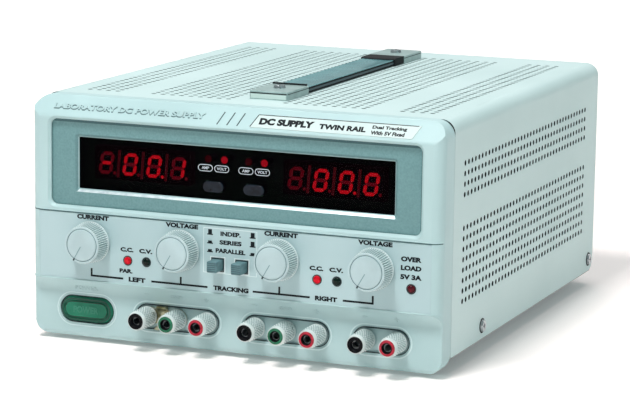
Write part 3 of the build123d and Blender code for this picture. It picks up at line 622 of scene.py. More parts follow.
def fan_plastic():
    """Black glass-filled moulding of the fan."""
    return mottled("fan_plastic", 0.4, 90.0, (28, 29, 31), (44, 46, 48),
                   relief=(1500.0, 4.0, 0.15, 0.00004, 0.0003))


def module_dark():
    """Face of the digit modules: nearly black, with a faint red glow of painted light."""
    return mottled("module_dark", 0.6, 150.0, (9, 2, 4), (16, 4, 7), sockets={
        SPECULAR: 0.05, "Emission Color": srgb(120, 8, 24), "Emission Strength": 0.04})


def glow(name, colour, strength):
    """A lit segment or lamp, or an unlit one whose faint glow is painted light; uneven like a diffuser,
    colour linear.
    """
    full, dimmer = (*colour, 1.0), (*[c * 0.8 for c in colour], 1.0)
    material, tree, shader = new_material(name, full, 0.4)
    tint(tree, shader, noise(tree, 500.0), dimmer, full, 0.2, 0.8, "Emission Color")
    put(shader, {"Emission Strength": strength, SPECULAR: 0.05})
    return material


def lens(name, deep, colour, light):
    """Glossy tinted lamp dome with a soft inner light."""
    return mottled(name, 0.18, 600.0, deep, colour, sockets={
        SPECULAR: 0.2, "Emission Color": srgb(*colour), "Emission Strength": light})


# ---- pieces ----


def centre_of(node):
    low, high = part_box(node)
    return (low.x + high.x) / 2 / MM, (low.z + high.z) / 2 / MM


def make_knob(name, finishes):
    """A tapered knob with fine ribs, and painted shade in the thin groove round its face.

    The finishes: the face, painted shade in its groove and in the rib grooves, and the sides lighter as
    painted light.
    """
    x, z = centre_of(f"knob_{name}")
    ribs, rib_deep = 56, 0.5
    first, last = 3, 10
    line_rows = range(14, 17)
    profile = [(-0.85, 3.1), (-0.85, 11.9), (-1.1, 12.2), (-2.5, 12.2), (-3.0, 11.8), (-4.5, 11.65),
               (-6.5, 11.5), (-8.5, 11.35), (-10.2, 11.2), (-11.3, 11.08), (-11.9, 10.95),
               (-12.35, 10.75), (-12.6, 10.4), (-12.6, 9.75), (-12.4, 9.65), (-12.2, 9.55),
               (-12.2, 9.35), (-12.45, 9.25), (-12.75, 8.95), (-12.9, 8.4), (-12.95, 6.0), (-12.97, 0.0)]

    def swell(turn, k, _):
        if not first <= k <= last:
            return 0.0
        fade = 1.0 if first < k < last else 0.35
        return -rib_deep * fade * (0.5 - 0.5 * math.cos(ribs * turn)) ** 0.8

    # Painted shade: index 1 in the face's groove, 2 in the rib grooves; index 3, the lighter sides, is
    # painted light
    def shade(turn, k, _):
        if k > last:
            return 1 if k in line_rows else 0
        return 2 if first <= k < last and math.cos(ribs * turn) < -0.2 else 3

    bm = bmesh.new()
    add_turned(bm, x, z, profile, ribs * 5, swell, shade)
    piece = finish_mesh(bm, f"knob_{name}_ribbed", finishes, f"knob_{name}")
    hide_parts(f"knob_{name}")


def make_pointer(name, faint, dark):
    """The pointer: a fine line from near the middle and a dark notch through the rim."""
    x, z = centre_of(f"knob_{name}")
    turn = math.radians(POINTER_DEG)
    for label, material, inner, outer, width, depth in (
            ("line", faint, 1.0, 8.9, 0.55, -12.93), ("notch", dark, 9.2, 10.8, 1.0, -12.55)):
        bm = bmesh.new()
        ends = [(x + r * math.cos(turn), z + r * math.sin(turn)) for r in (inner, outer)]
        add_stroke(bm, *ends, width, facing(depth), 0.06)
        finish_mesh(bm, f"pointer_{label}_{name}", material, f"knob_{name}")


def make_post_cap(i, plastic, shadow):
    """A binding post's cap with diamond knurling over its middle, painted shade on the groove floors."""
    x, z = centre_of(f"post_cap_{i}")
    diamonds, cell, knurl_deep, shaded = 24, 1.57, 0.5, 0.62
    rows, radius = 56, 6.02
    rear, length = 4.4, 12.4
    taper_from, taper_long, taper = -4.0, 5.6, 0.55
    profile = [(6.35, 3.15), (6.35, 5.6), (5.9, 6.0), (5.2, 6.05), (4.7, 6.0)]
    knurl_first = len(profile)
    for k in range(rows + 1):
        d = rear - length * k / rows
        profile.append((d, radius if d > taper_from else radius - taper * (taper_from - d) / taper_long))
    knurl_last = len(profile) - 1
    profile += [(-8.3, 5.55), (-9.4, 5.42), (-10.0, 5.25), (-10.35, 4.98), (-10.38, 4.72), (-4.2, 4.7)]

    def cut(turn, k, d):
        """How near a groove is, from 0 on a diamond's top to 1 on a groove's floor."""
        if not knurl_first < k < knurl_last:
            return 0.0
        across, along = diamonds * turn / (2 * math.pi), d / (2 * cell)
        one = abs(((across + along) % 1.0) - 0.5) * 2
        two = abs(((across - along) % 1.0) - 0.5) * 2
        return max(one, two) ** 2

    bm = bmesh.new()
    add_turned(bm, x, z, profile, diamonds * 6, lambda *place: -knurl_deep * cut(*place),
               lambda *place: 1 if cut(*place) > shaded else 0)
    piece = finish_mesh(bm, f"post_cap_{i}_knurled", [plastic, shadow], f"cap_{i}", 40.0)
    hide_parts(f"post_cap_{i}")


def make_post_bush(i, dark):
    """The dark funnel that leads a plug into the socket."""
    x, z = centre_of(f"post_ring_{i}")
    profile = [(-9.15, 2.2), (-9.15, 3.15), (-10.6, 3.4), (-10.85, 3.25), (-10.8, 3.0),
               (-9.9, 2.3), (-9.15, 2.2)]
    bm = bmesh.new()
    add_turned(bm, x, z, profile, 40)
    bmesh.ops.remove_doubles(bm, verts=bm.verts, dist=0.000001)
    finish_mesh(bm, f"post_bush_{i}", dark, f"ring_{i}")


def make_link(brass):
    """The removable earth link: a waisted strip whose upper ears bend forwards."""
    x, _ = centre_of("shorting_link")
    _, (_, back, _) = limits("shorting_link")
    # Height from the posts' middle, half width, and how far it leans forwards there
    levels = [(-7.0, 4.4, 3.0), (-5.8, 3.9, 1.8), (-4.0, 2.1, 0.6), (-2.0, 1.4, 0.1), (0.0, 1.25, 0.0),
              (2.0, 1.5, 0.2), (3.8, 2.4, 1.0), (5.2, 3.9, 2.6), (6.2, 4.9, 4.6), (6.7, 5.2, 6.4)]
    front, thick = back - 1.2, 0.8
    bm = bmesh.new()
    add_prism(bm, [[at(x + u, front - lean_out + w, SLOT_Z + rise)
                    for u, w in box_outline(-half, 0, half, thick)] for rise, half, lean_out in levels])
    finish_mesh(bm, "earth_link_ears", brass)


def make_lamp(name, x, z, material, rim):
    """A lamp dome in a dark rim of painted shade."""
    steps, radius, tall = 9, 2.25, 1.25
    profile = [(0.3, radius)]
    for i in range(steps):
        turn = i / steps * math.pi / 2
        profile.append((0.1 - tall * math.sin(turn), radius * math.cos(turn)))
    profile.append((0.1 - tall, 0.0))
    bm = bmesh.new()
    add_turned(bm, x, z, profile, 32)
    dome = finish_mesh(bm, f"lamp_{name}", material)
    bm = bmesh.new()
    add_ring(bm, round_outline(x, z, 5.9), round_outline(x, z, 4.6), on_panel, 0.12)
    finish_mesh(bm, f"lamp_{name}_rim", rim)
    return dome


def make_lamps():
    """The control panel's lamps; those for constant current are lit."""
    # Painted shade: the dark ring round each lamp dome
    rim = line_paint("lamp_rim_painted_shade", 28, 46, 50)
    red = lens("lamp_red", (140, 6, 18), (206, 12, 34), 0.3)
    green = lens("lamp_green", (2, 16, 12), (4, 30, 22), 0.0)
    amber = lens("lamp_overload", (50, 6, 14), (96, 10, 26), 0.0)
    first = make_lamp("left_cc", -64.6, 52.1, red, rim)
    make_lamp("left_cv", -52.6, 52.2, green, rim)
    make_lamp("right_cc", 53.8, 51.8, red, rim)
    make_lamp("right_cv", 65.8, 51.8, green, rim)
    make_lamp("overload", 110.2, 51.6, amber, rim)
    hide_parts("indicator_leds")


def make_dots(body):
    """Four unit lamps behind the window; only their faces glow, the unlit ones faintly as painted light."""
    lit = glow("dot_lit", (1.0, 0.01, 0.03), 2.4)
    # The unlit dots glow faintly as painted light
    unlit = glow("dot_unlit_painted_glow", (0.4, 0.01, 0.02), 0.5)
    z = 114.1
    profile = [(BOARD_FACE, 2.2), (8.7, 2.2), (8.4, 2.1), (8.35, 0.0)]
    for i, (x, material) in enumerate(((-17.6, unlit), (-7.5, lit), (7.5, unlit), (17.3, lit)), 1):
        bm = bmesh.new()
        add_turned(bm, x, z, profile, 28, shade=lambda turn, k, d: 0 if k == 2 else 1)
        finish_mesh(bm, f"unit_lamp_{i}", [material, body])


def bar_outline(letter):
    """One bar of a seven-segment figure about the figure's centre, upright."""
    w, h, t, gap = (DIGIT_WIDE - BAR) / 2, (DIGIT_TALL - BAR) / 2, BAR / 2, 0.22
    level = {"a": h, "g": 0.0, "d": -h}
    if letter in level:
        z = level[letter]
        return [(-w + gap, z), (-w + t + gap, z + t), (w - t - gap, z + t),
                (w - gap, z), (w - t - gap, z - t), (-w + t + gap, z - t)]
    x = w if letter in "bc" else -w
    low, high = (0.0, h) if letter in "bf" else (-h, 0.0)
    return [(x, low + gap), (x - t, low + t + gap), (x - t, high - t - gap),
            (x, high - gap), (x + t, high - t - gap), (x + t, low + t + gap)]


def lean(points, x, z):
    """Points of a figure moved to its place and slanted."""
    return [(x + u + w * math.tan(math.radians(10)), z + w) for u, w in points]


def make_figures(side, middle, shown, lit, unlit, divider):
    """The four figures of one reading: every bar is there and some are lit; unlit bars and dividers glow as
    painted light.
    """
    z, lift, pointed = DIGIT_Z, 0.15, 2
    bright, dim, faint = bmesh.new(), bmesh.new(), bmesh.new()
    for k, figure in enumerate(shown):
        x = middle + (k - 1.5) * DIGIT_PITCH
        for letter in "abcdefg":
            target = bright if letter in SEGMENTS[figure] else dim
            add_plate(target, lean(bar_outline(letter), x, z), on_digits, lift)
        point = round_outline(x + DIGIT_WIDE / 2 + 0.9, z - DIGIT_TALL / 2 + 0.9, 1.9, 8)
        add_plate(bright if k == pointed else dim, point, on_digits, lift)
        if k:
            left = x - DIGIT_PITCH / 2
            add_stroke(faint, (left - 0.4, z - 8), (left + 0.8, z + 8), 1.7, on_digits)
    for bm, name, material in ((bright, "lit", lit), (dim, "unlit", unlit), (faint, "dividers", divider)):
        finish_mesh(bm, f"figures_{side}_{name}", material)


def make_display():
    """Both readings."""
    lit = glow("figure_lit", (1.0, 0.008, 0.02), 3.0)
    # The unlit bars and the dividers glow faintly as painted light
    unlit = glow("figure_unlit_painted_glow", (1.0, 0.01, 0.05), 0.42)
    divider = glow("figure_divider_painted_glow", (1.0, 0.02, 0.06), 0.12)
    make_figures("left", -DIGITS_X, "-001", lit, unlit, divider)
    make_figures("right", DIGITS_X, " 000", lit, unlit, divider)


def make_window_labels(white):
    """Outlined capsules with the meter units."""
    bm = bmesh.new()
    z = 109.45
    for x, word in ((-17.7, "AMP"), (-7.5, "VOLT"), (7.5, "AMP"), (17.7, "VOLT")):
        add_ring(bm, slot_outline(x, z, 9.2, 4.0), slot_outline(x, z, 8.5, 3.3), on_window)
        add_words(bm, word, x, z, 1.5 * len(word), 1.6, on_window)
    finish_mesh(bm, "unit_labels", white)


def make_window_trim(sill_highlight, dull):
    """The thin line round the window, and the bevel along its lower edge, brighter as a painted highlight.
    """
    x0, z0, x1, _ = WINDOW
    bm = bmesh.new()
    add_frame(bm, WINDOW, [(0.55, WINDOW_FACE - 0.7), (0.05, WINDOW_FACE - 0.15), (0.05, WINDOW_FACE),
                           (0.55, WINDOW_FACE - 0.4)])
    finish_mesh(bm, "window_trim", dull)
    # The sill's bright metal is a painted highlight along the lower bevel
    reach, inner = WINDOW_BEVEL, WINDOW_FACE - 0.2
    rings = [[at(x + side * reach, SURROUND_FACE - 0.05, z0 - reach), at(x, inner, z0 - 0.1),
              at(x, inner + 0.2, z0 - 0.2)] for x, side in ((x0, -1), (x1, 1))]
    bm = bmesh.new()
    add_prism(bm, rings)
    finish_mesh(bm, "window_sill", sill_highlight)


def make_recess_line(dark):
    """A dark strip of painted shadow under the recess's top edge and down its right-hand end."""
    x0, z0, x1, z1 = RECESS
    front, back, short = SURROUND_FACE - 0.25, SURROUND_FACE + 0.05, 1.5
    bm = bmesh.new()
    for axis, edge, ends, flat, wide in (
            ("x", z1, (x0 + short, x1 - short), 1.0, 1.7), ("z", x1, (z0 + short, z1 - short), 0.5, 0.9)):
        section = [(edge, back), (edge, front), (edge - flat, front), (edge - wide, back - 0.1),
                   (edge - wide, back)]
        if axis == "x":
            section = [(d, z) for z, d in section]
        add_run(bm, axis, ends, section)
    finish_mesh(bm, "recess_painted_shadow", dark)


def make_channel_legends(ink):
    """Words over the knobs and lamps of both channels, with the lines that tie them together."""
    bm = bmesh.new()
    bold, line = 0.06, 1.15
    words = [(-87.1, 75.65, 20.6, 2.8, "CURRENT"), (31.5, 75.65, 20.6, 2.8, "CURRENT"),
             (-30.2, 75.55, 20.6, 2.8, "VOLTAGE"), (88.4, 75.55, 20.6, 2.8, "VOLTAGE"),
             (-65.1, 58.5, 8.4, 2.6, "C.C."), (-53.1, 58.5, 8.4, 2.6, "C.V."),
             (53.3, 58.2, 8.4, 2.6, "C.C."), (65.3, 58.2, 8.4, 2.6, "C.V."), (-65.7, 45.9, 8.4, 2.5, "PAR."),
             (-58.6, TIE_Z, 10.8, 2.8, "LEFT"), (59.4, TIE_Z, 13.5, 2.8, "RIGHT")]
    for x, z, width, height, word in words:
        add_words(bm, word, x, z, width, height, on_panel, weight=bold)
    for a, b in ((-88, -67.5), (-49.5, -13.8), (14.4, 49.5), (69.5, 87.6)):
        add_stroke(bm, (a, TIE_Z), (b, TIE_Z), line, on_panel)
    for x in (-88, -30.7, 30.8, 87.5):
        add_stroke(bm, (x, TIE_Z - 0.55), (x, TIE_Z + 4.4), line, on_panel)
    finish_mesh(bm, "channel_legends", ink)


def make_tracking_words(ink):
    """The mode table over the two tracking buttons, with a small picture of each button in or out."""
    bm = bmesh.new()
    for word, z, width in (("INDEP.", 73.0, 12.6), ("SERIES", 68.0, 13.8), ("PARALLEL", 63.1, 18.6)):
        add_words(bm, word, 0.4, z, width, 2.6, on_panel, weight=0.05)
    add_words(bm, "TRACKING", 0.8, TIE_Z, 22.0, 2.8, on_panel, weight=0.06)
    button_out, button_in = 2.6, 1.1
    for z, left, right in ((73.3, button_out, button_out), (68.2, button_in, button_out),
                           (63.2, button_in, button_in)):
        for x, tall in ((-12.4, left), (14.1, right)):
            add_plate(bm, box_outline(x - 1.8, z - 1.5, x + 1.8, z - 0.8), on_panel)
            add_plate(bm, box_outline(x - 1.2, z - 0.8, x + 1.2, z - 0.8 + tall), on_panel)
    finish_mesh(bm, "tracking_legends", ink)


def make_tracking_frames(pale, dark):
    """The pale frames round the tracking buttons and their table, and painted shade in the gaps round the
    buttons.
    """
    bm = bmesh.new()
    add_ring(bm, box_outline(-16.6, 49.7, 16.9, 76.0), box_outline(-16.2, 50.1, 16.5, 75.6), on_panel)
    for x in (-TRACKING_X, TRACKING_X):
        add_ring(bm, box_outline(x - 4.8, 50.1, x + 4.8, 59.6), box_outline(x - 4.1, 50.8, x + 4.1, 58.9),
                 on_panel, 0.12)
    finish_mesh(bm, "tracking_frames", pale)
    # Painted shade in the gaps round the buttons
    bm = bmesh.new()
    for x in (-TRACKING_X, TRACKING_X):
        add_ring(bm, box_outline(x - 4.1, 50.8, x + 4.1, 59.2), box_outline(x - 3.4, 51.4, x + 3.4, 58.0),
                 on_panel, 0.04)
    finish_mesh(bm, "button_gap_painted_shade", dark)


def make_button_ridges(side, plastic):
    """Fine level ridges across the front of a tracking button, dark as painted shade."""
    x, z = centre_of(f"tracking_button_{side}")
    bm = bmesh.new()
    for k in range(-2, 3):
        level = z + k * 1.15
        add_stroke(bm, (x - 2.6, level), (x + 2.6, level), 0.45, on_tracking, 0.12)
    finish_mesh(bm, f"tracking_ridges_{side}", plastic, f"tracking_{side}")


def make_overload_legend(ink):
    """The words over the overload lamp."""
    bm = bmesh.new()
    for word, z, width in (("OVER", 68.3, 12.2), ("LOAD", 63.3, 12.2), ("5V 3A", 58.2, 12.6)):
        add_words(bm, word, 109.9, z, width, 2.9, on_panel, weight=0.06)
    finish_mesh(bm, "overload_legend", ink)


def make_panel_lines(dark, plastic):
    """Painted shade in the gap over the control plate, and the ridges beside it, all running round the
    corners.
    """
    (_, _, z0), (_, _, z1) = limits("control_panel")
    foot = -0.1
    bm = bmesh.new()
    # Painted shade in the gap over the control plate
    add_band(bm, [(foot, z1 + 0.2), (0.05, z1 + 0.2), (0.05, z1 + 0.75), (foot, z1 + 0.75)])
    finish_mesh(bm, "panel_gap", dark)
    bm = bmesh.new()
    for low, high, lift in ((z1 + 0.75, z1 + 1.6, 0.3), (z0 - 0.5, z0 + 0.6, 0.35)):
        add_band(bm, [(foot, low), (lift * 0.6, low + 0.1), (lift, (low + high) / 2),
                      (lift * 0.6, high - 0.1), (foot, high)])
    finish_mesh(bm, "panel_ridges", plastic, angle=60.0)


def make_cove_marks(plastic):
    """Low raised words moulded over the power button and the posts."""
    bm = bmesh.new()
    lift, z, half = 0.35, 32.4, 1.4
    add_words(bm, "POWER", POWER_SLOT[0], z, 15.0, 2.4, on_cove, lift)
    for i, mark in zip(POSTS, ("-", "GND", "+", "-", "GND", "+", "-", "+")):
        x, _ = centre_of(f"post_ring_{i}")
        if mark == "GND":
            add_words(bm, mark, x, z, 7.6, 2.2, on_cove, lift)
            continue
        add_stroke(bm, (x - half, z), (x + half, z), 0.7, on_cove, lift)
        if mark == "+":
            add_stroke(bm, (x, z - half), (x, z + half), 0.7, on_cove, lift)
    finish_mesh(bm, "cove_marks", plastic)


def make_slot_rims(dark, pale):
    """A dark line of painted shadow inside every opening of the lower face, and a low lip round it, bright
    as a painted highlight.
    """
    rims = [(x, SLOT_Z, (count - 1) * POST_PITCH + SLOT_TALL, SLOT_TALL) for x, count in POST_SLOTS]
    line, lip = bmesh.new(), bmesh.new()
    for x, z, width, height in rims + [POWER_SLOT]:
        # Painted shadow inside each opening, and a painted highlight on the raised lip round it
        add_ring(line, slot_outline(x, z, width + 0.2, height + 0.2, 16),
                 slot_outline(x, z - 0.15, width - 0.9, height - 1.1, 16), on_lower, -0.75, -1.1)
        add_ring(lip, slot_outline(x, z, width + 4.0, height + 4.0, 16),
                 slot_outline(x, z, width + 2.6, height + 2.6, 16), on_lower, 0.14)
    finish_mesh(line, "slot_painted_shadows", dark)
    finish_mesh(lip, "slot_lips", pale, angle=60.0)


def make_power_face(dark, rim, word):
    """The dark rim and the engraved oval, both painted shade, and the word on the power button."""
    x, z, _, _ = POWER_SLOT
    # Painted shade: the button's dark rim and the dark outline of its oval
    for name, material, outer, inner, lift in (
            ("power_oval", dark, (27.6, 9.4), (26.8, 8.6), 0.05),
            ("power_rim", rim, (32.0, 13.4), (29.4, 11.0), 0.03)):
        bm = bmesh.new()
        add_ring(bm, slot_outline(x, z, *outer, 14), slot_outline(x, z, *inner, 14), on_power, lift)
        finish_mesh(bm, name, material, "power")
    bm = bmesh.new()
    add_words(bm, "POWER", x, z, 16.5, 4.2, on_power, 0.12, 0.05)
    finish_mesh(bm, "power_word", word, "power")


def make_strap_top(vinyl):
    """The strap's glossy top, with low raised edges."""
    (x0, d0, _), (x1, d1, _) = limits("handle_inlay")
    _, (_, _, top) = limits("handle_strap")
    wider, longer = 1.9, 1.5
    half = [(0.0, -0.2), (0.0, 0.15), (0.3, 0.4), (1.3, 0.4), (1.7, 0.22)]
    section = [(x0 - wider + u, top + w) for u, w in half]
    section += [(x1 + wider - u, top + w) for u, w in reversed(half)]
    bm = bmesh.new()
    add_run(bm, "d", (d0 - longer, d1 + longer), section)
    finish_mesh(bm, "strap_top", vinyl)


def make_strap_sides(grey):
    """A grey flute along each side of the strap."""
    (x0, _, z0), (x1, _, z1) = limits("handle_strap")
    (_, d0, _), (_, d1, _) = limits("handle_inlay")
    middle = (z0 + z1) / 2
    section = [(0.0, -0.6), (0.05, -0.5), (0.12, 0.0), (0.05, 0.5), (0.0, 0.6), (-0.1, 0.0)]
    bm = bmesh.new()
    for x, out in ((x0, -1), (x1, 1)):
        add_run(bm, "d", (d0, d1), [(x + out * u, middle + w) for u, w in section])
    finish_mesh(bm, "strap_flutes", grey, angle=60.0)


def make_strap_ends(rubber):
    """Rubber collars where the strap enters its end caps."""
    (x0, _, _), (x1, front, top) = limits("handle_cap_front")
    (_, rear, _), _ = limits("handle_cap_rear")
    low = CASE_TOP + 0.3
    lip = [(front - 1.6, top - 0.1), (front - 1.6, top + 0.7), (front - 1.3, top + 0.95),
           (front - 0.3, top + 0.95), (front, top + 0.7), (front, top - 0.1)]
    collar = [(rear - 16.0, low), (rear - 16.0, top - 0.8), (rear - 15.2, top - 0.3),
              (rear - 14.2, top - 0.1), (rear + 0.3, top - 0.1), (rear + 0.3, low)]
    bm = bmesh.new()
    for section, inset in ((lip, 1.2), (collar, 0.3)):
        add_run(bm, "x", (x0 + inset, x1 - inset), section)
    finish_mesh(bm, "strap_collars", rubber)


def make_cap_lines(dark, pale):
    """The dark joint under the top plate of each end cap, and the front one's lip, pale as a painted
    highlight.
    """
    proud, deep, short = 0.01, 0.3, 1.2
    bm = bmesh.new()
    for node in ("handle_cap_front", "handle_cap_rear"):
        (x0, d0, z0), (x1, d1, _) = limits(node)
        for left, right in ((x0 - proud, x0 + deep), (x1 - deep, x1 + proud)):
            add_run(bm, "z", (z0 + 3.4, z0 + 3.8), box_outline(left, d0 + short, right, d1 - short))
    (x0, d0, z0), (x1, _, _) = limits("handle_cap_front")
    add_run(bm, "z", (z0 + 3.3, z0 + 3.95), box_outline(x0 + 0.6, d0 - 0.06, x1 - 0.6, d0 + 0.4))
    finish_mesh(bm, "cap_joints", dark)
    # Painted highlight on the front cap's lip
    bm = bmesh.new()
    lip = [(d0 + 0.2, z0 + 0.35), (d0 - 0.08, z0 + 0.5), (d0 - 0.08, z0 + 3.0), (d0 + 0.2, z0 + 3.15)]
    add_run(bm, "x", (x0 + 0.9, x1 - 0.9), lip)
    finish_mesh(bm, "cap_lip", pale)


def make_strip_marks(plastic, shade, dark):
    """Moulded words with painted shadows under them, and three slanted flutes, on the sloping strip."""
    # The second copy, dropped and darker, is a painted shadow under the words
    for name, drop, lift, weight, material in (
            ("strip_words", 0.0, 0.4, 0.03, plastic), ("strip_word_painted_shadows", 0.5, 0.14, 0.04, shade)):
        bm = bmesh.new()
        add_words(bm, "LABORATORY DC POWER SUPPLY", -66.0, 7.1 - drop, 96.0, 3.9, on_facet, lift, weight)
        finish_mesh(bm, name, material)
    bm = bmesh.new()
    for x in (-9.3, -3.1, 3.1):
        add_stroke(bm, (x, 2.0), (x + 2.6, 11.0), 0.7, on_facet, 0.03)
    finish_mesh(bm, "strip_flutes", dark)


def make_plate_words(ink):
    """Generic words on the name plate, and the dark line along its top and slanted left edge."""
    bm = bmesh.new()
    for word, x, s, width, height, weight in (
            ("DC SUPPLY", 32.6, 6.1, 33.0, 4.6, 0.065), ("TWIN RAIL", 66.4, 5.6, 28.0, 3.5, 0.055),
            ("Dual Tracking", 94.0, 7.5, 20.5, 2.8, 0.045), ("With 5V Fixed", 93.6, 4.0, 20.0, 2.6, 0.045)):
        add_words(bm, word, x, s, width, height, on_plate, weight=weight)
    add_stroke(bm, (14.4, 10.45), (110.6, 10.45), 0.45, on_plate)
    add_stroke(bm, (11.3, 2.0), (14.5, 10.4), 0.5, on_plate)
    finish_mesh(bm, "plate_words", ink)


def make_rear_legends(ink):
    """The words over the mains inlet."""
    x, z = centre_of("mains_inlet")
    bm = bmesh.new()
    add_words(bm, "AC INPUT", -x, z + 16.5, 18.0, 2.6, on_rear)
    finish_mesh(bm, "rear_legends", ink)


def make_side_washers(rubber):
    """A dark shakeproof washer under the head of every screw in the cover's sides."""
    bm = bmesh.new()
    for side in (-1, 1):
        for d, z in COVER_SCREWS:
            add_ring(bm, round_outline(d, z, 8.8), round_outline(d, z, 6.4),
                     lambda u, w, lift, s=side: at(s * (HALF_W + lift), u, w), 0.3)
    finish_mesh(bm, "side_washers", rubber)


# ---- finishes on the CAD nodes ----


def paint(material, *names):
    for name in names:
        node = NODES[name]
        if not node.material_slots:
            node.data.materials.append(None)
        for slot in node.material_slots:
            slot.material = material


def soften(name, width, angle=40.0):
    """Eases the sharp corners of a CAD node with a small bevel."""
    node = NODES[name]
    weld = node.modifiers.new("weld", "WELD")
    weld.merge_threshold = 0.000002
    bevel = node.modifiers.new("ease", "BEVEL")
    bevel.width = width * MM
    bevel.segments = 2
    bevel.limit_method = "ANGLE"
    bevel.angle_limit = math.radians(angle)
    bevel.harden_normals = True


def paint_nodes(bezel, brass, rubber, black):
    """Gives every CAD node its material; those also used on made pieces are handed in."""
    edge = 0.0002
    paint(cover_paint(), "top_cover")
    paint(case_paint(), "rear_panel")
    paint(bezel, "front_bezel", "post_blocks")
    paint(surround_plastic(), "display_surround")
    paint(window_filter(), "display_window")
    paint(panel_paint(), "control_panel")
    paint(plate_white(), "name_plate")
    paint(button_grey(), "tracking_button_left", "tracking_button_right")
    paint(switch_dark(), "meter_button_left", "meter_button_right")
    paint(power_green(), "power_button")
    paint(metal("plain_steel", (140, 146, 148), (170, 176, 178), 0.38, edge),
          "chassis_tray", "push_switches", "potentiometers", "power_transistors")
    paint(metal("screw_steel", (158, 164, 168), (196, 202, 204), 0.28, edge),
          "case_screws", "post_studs", *[f"shaft_{name}" for name in KNOBS])
    paint(brass, "shorting_link")
    paint(cap_metal(), "handle_cap_front", "handle_cap_rear")
    paint(rubber, "handle_strap", "mains_inlet")
    paint(foot_grey(), "feet")
    paint(inlay_vinyl(), "handle_inlay")
    paint(core_iron(), "transformer_core")
    paint(winding_tape(), "transformer_windings")
    paint(board_green(), "main_board", "display_board")
    paint(sleeve_dark(), "capacitors")
    paint(black_aluminium(), "heat_sink")
    paint(fan_plastic(), "fan_frame", "fan_rotor")
    paint(module_dark(), "digit_modules")
    green = ring_plastic("ring_green", (18, 96, 66), (34, 122, 88))
    red = ring_plastic("ring_red", (160, 18, 40), (196, 34, 60))
    for i, shade in zip(POSTS, (black, green, red, black, green, red, black, red)):
        paint(shade, f"post_ring_{i}")


def soften_nodes():
    for side in ("left", "right"):
        soften(f"tracking_button_{side}", 0.5)
        soften(f"meter_button_{side}", 0.6)
    soften("power_button", 0.6)
    for i in POSTS:
        soften(f"post_ring_{i}", 0.5)


# ---- studio ----

LIT_POINT = Vector((0, 0, 0.075))
# Azimuth and elevation of the camera seen from the object, its roll, and its place in metres
CAMERA_WAY, CAMERA_ROLL = (22.16, 10.39), 0.78
CAMERA_PLACE = (0.5989, -1.4972, 0.3573)


def make_floor():
    """A pale floor that glows more the farther it is from the object."""
    material, tree, shader = new_material("floor_white", srgb(254, 241, 238), 0.7)
    tint(tree, shader, noise(tree, 0.6), srgb(253, 240, 237), srgb(255, 242, 239))
    put(shader, {"Emission Color": (0.88, 1.0, 1.0, 1.0)})
    place = tree.nodes.new("ShaderNodeTexCoord")
    away = tree.nodes.new("ShaderNodeVectorMath")
    away.operation = "LENGTH"
    lift = tree.nodes.new("ShaderNodeMapRange")
    put(lift, {"From Min": 0.45, "From Max": 2.2, "To Min": 0.14, "To Max": 0.6})
    tree.links.new(place.outputs["Object"], away.inputs[0])
    wire(away, "Value", lift, "Value")
    wire(lift, "Result", shader, "Emission Strength")
    mesh = bpy.data.meshes.new("floor")
    half = 14.0
    mesh.from_pydata([(x, y, 0) for x, y in box_outline(-half, -half, half, half)], [], [(0, 1, 2, 3)])
    mesh.materials.append(material)
    floor = bpy.data.objects.new("floor", mesh)
    bpy.context.scene.collection.objects.link(floor)


def way_to(azimuth, elevation):
    """The direction from the object's middle towards a viewer or a lamp, from angles in degrees."""
    a, e = math.radians(azimuth), math.radians(elevation)
    return Vector((math.sin(a) * math.cos(e), -math.cos(a) * math.cos(e), math.sin(e)))


def make_light(name, azimuth, elevation, distance, size, power, colour=(1, 1, 1)):
    """A soft square light that faces the object from a direction."""
    way = way_to(azimuth, elevation)
    lamp = bpy.data.lights.new(name, "AREA")
    lamp.shape = "SQUARE"
    lamp.size = size
    lamp.energy = power
    lamp.color = colour
    holder = bpy.data.objects.new(name, lamp)
    holder.location = LIT_POINT + way * distance
    holder.rotation_euler = way.to_track_quat("Z", "Y").to_euler()
    bpy.context.scene.collection.objects.link(holder)


def make_world():
    world = bpy.data.worlds.new("studio")
    world.use_nodes = True
    put(world.node_tree.nodes["Background"], {"Color": (0.83, 0.99, 1.0, 1.0), "Strength": 0.37})
    bpy.context.scene.world = world


def make_camera():
    """The viewing direction and lens worked out from the object's known edges."""
    roll = math.radians(CAMERA_ROLL)
    back = way_to(*CAMERA_WAY)
    across = (-back).cross(Vector((0, 0, 1))).normalized()
    up = across.cross(-back)
    right = across * math.cos(roll) + up * math.sin(roll)
    top = up * math.cos(roll) - across * math.sin(roll)
    data = bpy.data.cameras.new("camera")
    data.lens = 150.507
    data.sensor_width = 36.0
    data.sensor_fit = "HORIZONTAL"
    data.clip_end = 60.0
    camera = bpy.data.objects.new("camera", data)
    turn = Matrix((right, top, back)).transposed().to_4x4()
    camera.matrix_world = Matrix.Translation(CAMERA_PLACE) @ turn
    bpy.context.scene.collection.objects.link(camera)
    bpy.context.scene.camera = camera


def make_studio():
    make_floor()
    make_light("key", -6, 61, 1.7, 0.34, 20.5)
    make_light("fill", 60, 35, 2.4, 1.6, 2.6, (0.45, 0.98, 1.0))
    make_light("back", 188, 57, 2.4, 1.6, 24.0, (1.0, 0.91, 0.91))
    make_world()
    make_camera()
    view = bpy.context.scene.view_settings
    view.view_transform = "Standard"
    view.look = "None"


def make_knobs(dark):
    # Painted shade for the groove and the rib grooves, and a lighter side plastic as painted light
    faces = [knob_plastic("knob_plastic", (182, 203, 206)), line_paint("groove_painted_shade", 112, 142, 147),
             line_paint("rib_painted_shade", 156, 178, 180), knob_plastic("knob_side_painted_light", (216, 228, 228))]
    faint = line_paint("line_faint", 128, 158, 162)
    for name in KNOBS:
        make_knob(name, faces)
        make_pointer(name, faint, dark)


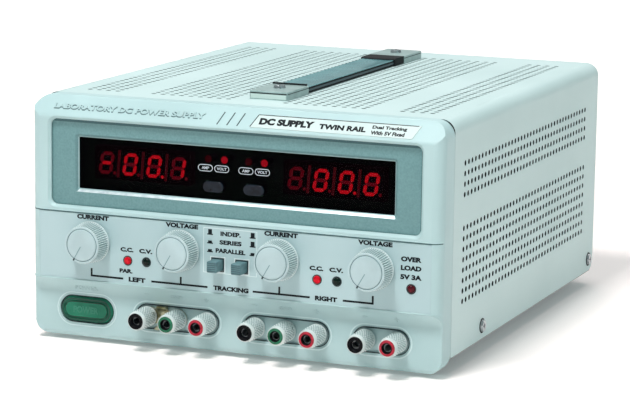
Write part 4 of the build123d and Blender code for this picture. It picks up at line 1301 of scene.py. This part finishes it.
def make_posts(brass, black):
    """The binding posts' caps and sockets, and the link between two of them."""
    # The knurl's second material is painted shade on the groove floors
    cap, shadow = post_plastic(), line_paint("knurl_painted_shade", 148, 168, 168)
    for i in POSTS:
        make_post_cap(i, cap, shadow)
        make_post_bush(i, black)
    make_link(brass)


def make_window_detail(black):
    """Everything in and round the display window."""
    make_dots(black)
    make_display()
    make_window_labels(printed_white())
    make_window_trim(metal("sill_painted_highlight", (200, 214, 218), (226, 236, 238), 0.36),
                     line_paint("trim_dull", 168, 196, 198))
    # Painted shadow under the recess's top edge and down its right-hand end
    make_recess_line(line_paint("recess_shade", 60, 96, 100))


def make_panel_detail(bezel, dark, ink):
    """What is printed and moulded on and round the control plate."""
    make_channel_legends(ink)
    make_tracking_words(ink)
    make_tracking_frames(line_paint("frame_pale", 214, 228, 228), dark)
    # Painted shade on the button ridges
    ridge = line_paint("ridge_painted_shade", 62, 92, 98)
    for side in ("left", "right"):
        make_button_ridges(side, ridge)
    make_overload_legend(ink)
    make_panel_lines(line_paint("gap_painted_shade", 62, 100, 104), bezel)


def make_lower_detail(bezel, dark):
    """The moulded marks and openings round the posts, and the power button's face."""
    make_cove_marks(bezel)
    make_slot_rims(dark, line_paint("edge_painted_highlight", 208, 228, 228))
    make_power_face(line_paint("oval_painted_shade", 8, 48, 38), line_paint("rim_painted_shade", 12, 72, 56),
                    line_paint("word_green", 44, 128, 102))


def make_handle_detail(rubber):
    """The strap's surfaces and its end caps' joints."""
    make_strap_top(inlay_vinyl())
    make_strap_sides(line_paint("flute_grey", 78, 92, 98))
    make_strap_ends(rubber)
    make_cap_lines(line_paint("joint_dark", 14, 22, 24), line_paint("lip_painted_highlight", 206, 222, 216))


def main():
    bezel, rubber = bezel_plastic(), black_rubber()
    brass = metal("brass_plain", (156, 152, 122), (208, 204, 178), 0.3, 0.0002)
    black = ring_plastic("ring_black", (5, 5, 8), (10, 10, 14), 0.12)
    dark, ink = line_paint("line_dark", 38, 58, 62), printed_ink()
    paint_nodes(bezel, brass, rubber, black)
    soften_nodes()
    make_knobs(dark)
    make_posts(brass, black)
    make_lamps()
    make_window_detail(black)
    make_panel_detail(bezel, dark, ink)
    make_lower_detail(bezel, dark)
    make_handle_detail(rubber)
    make_strip_marks(bezel, line_paint("strip_painted_shadow", 84, 112, 116), dark)
    make_plate_words(ink)
    make_rear_legends(ink)
    make_side_washers(rubber)
    make_studio()


main()
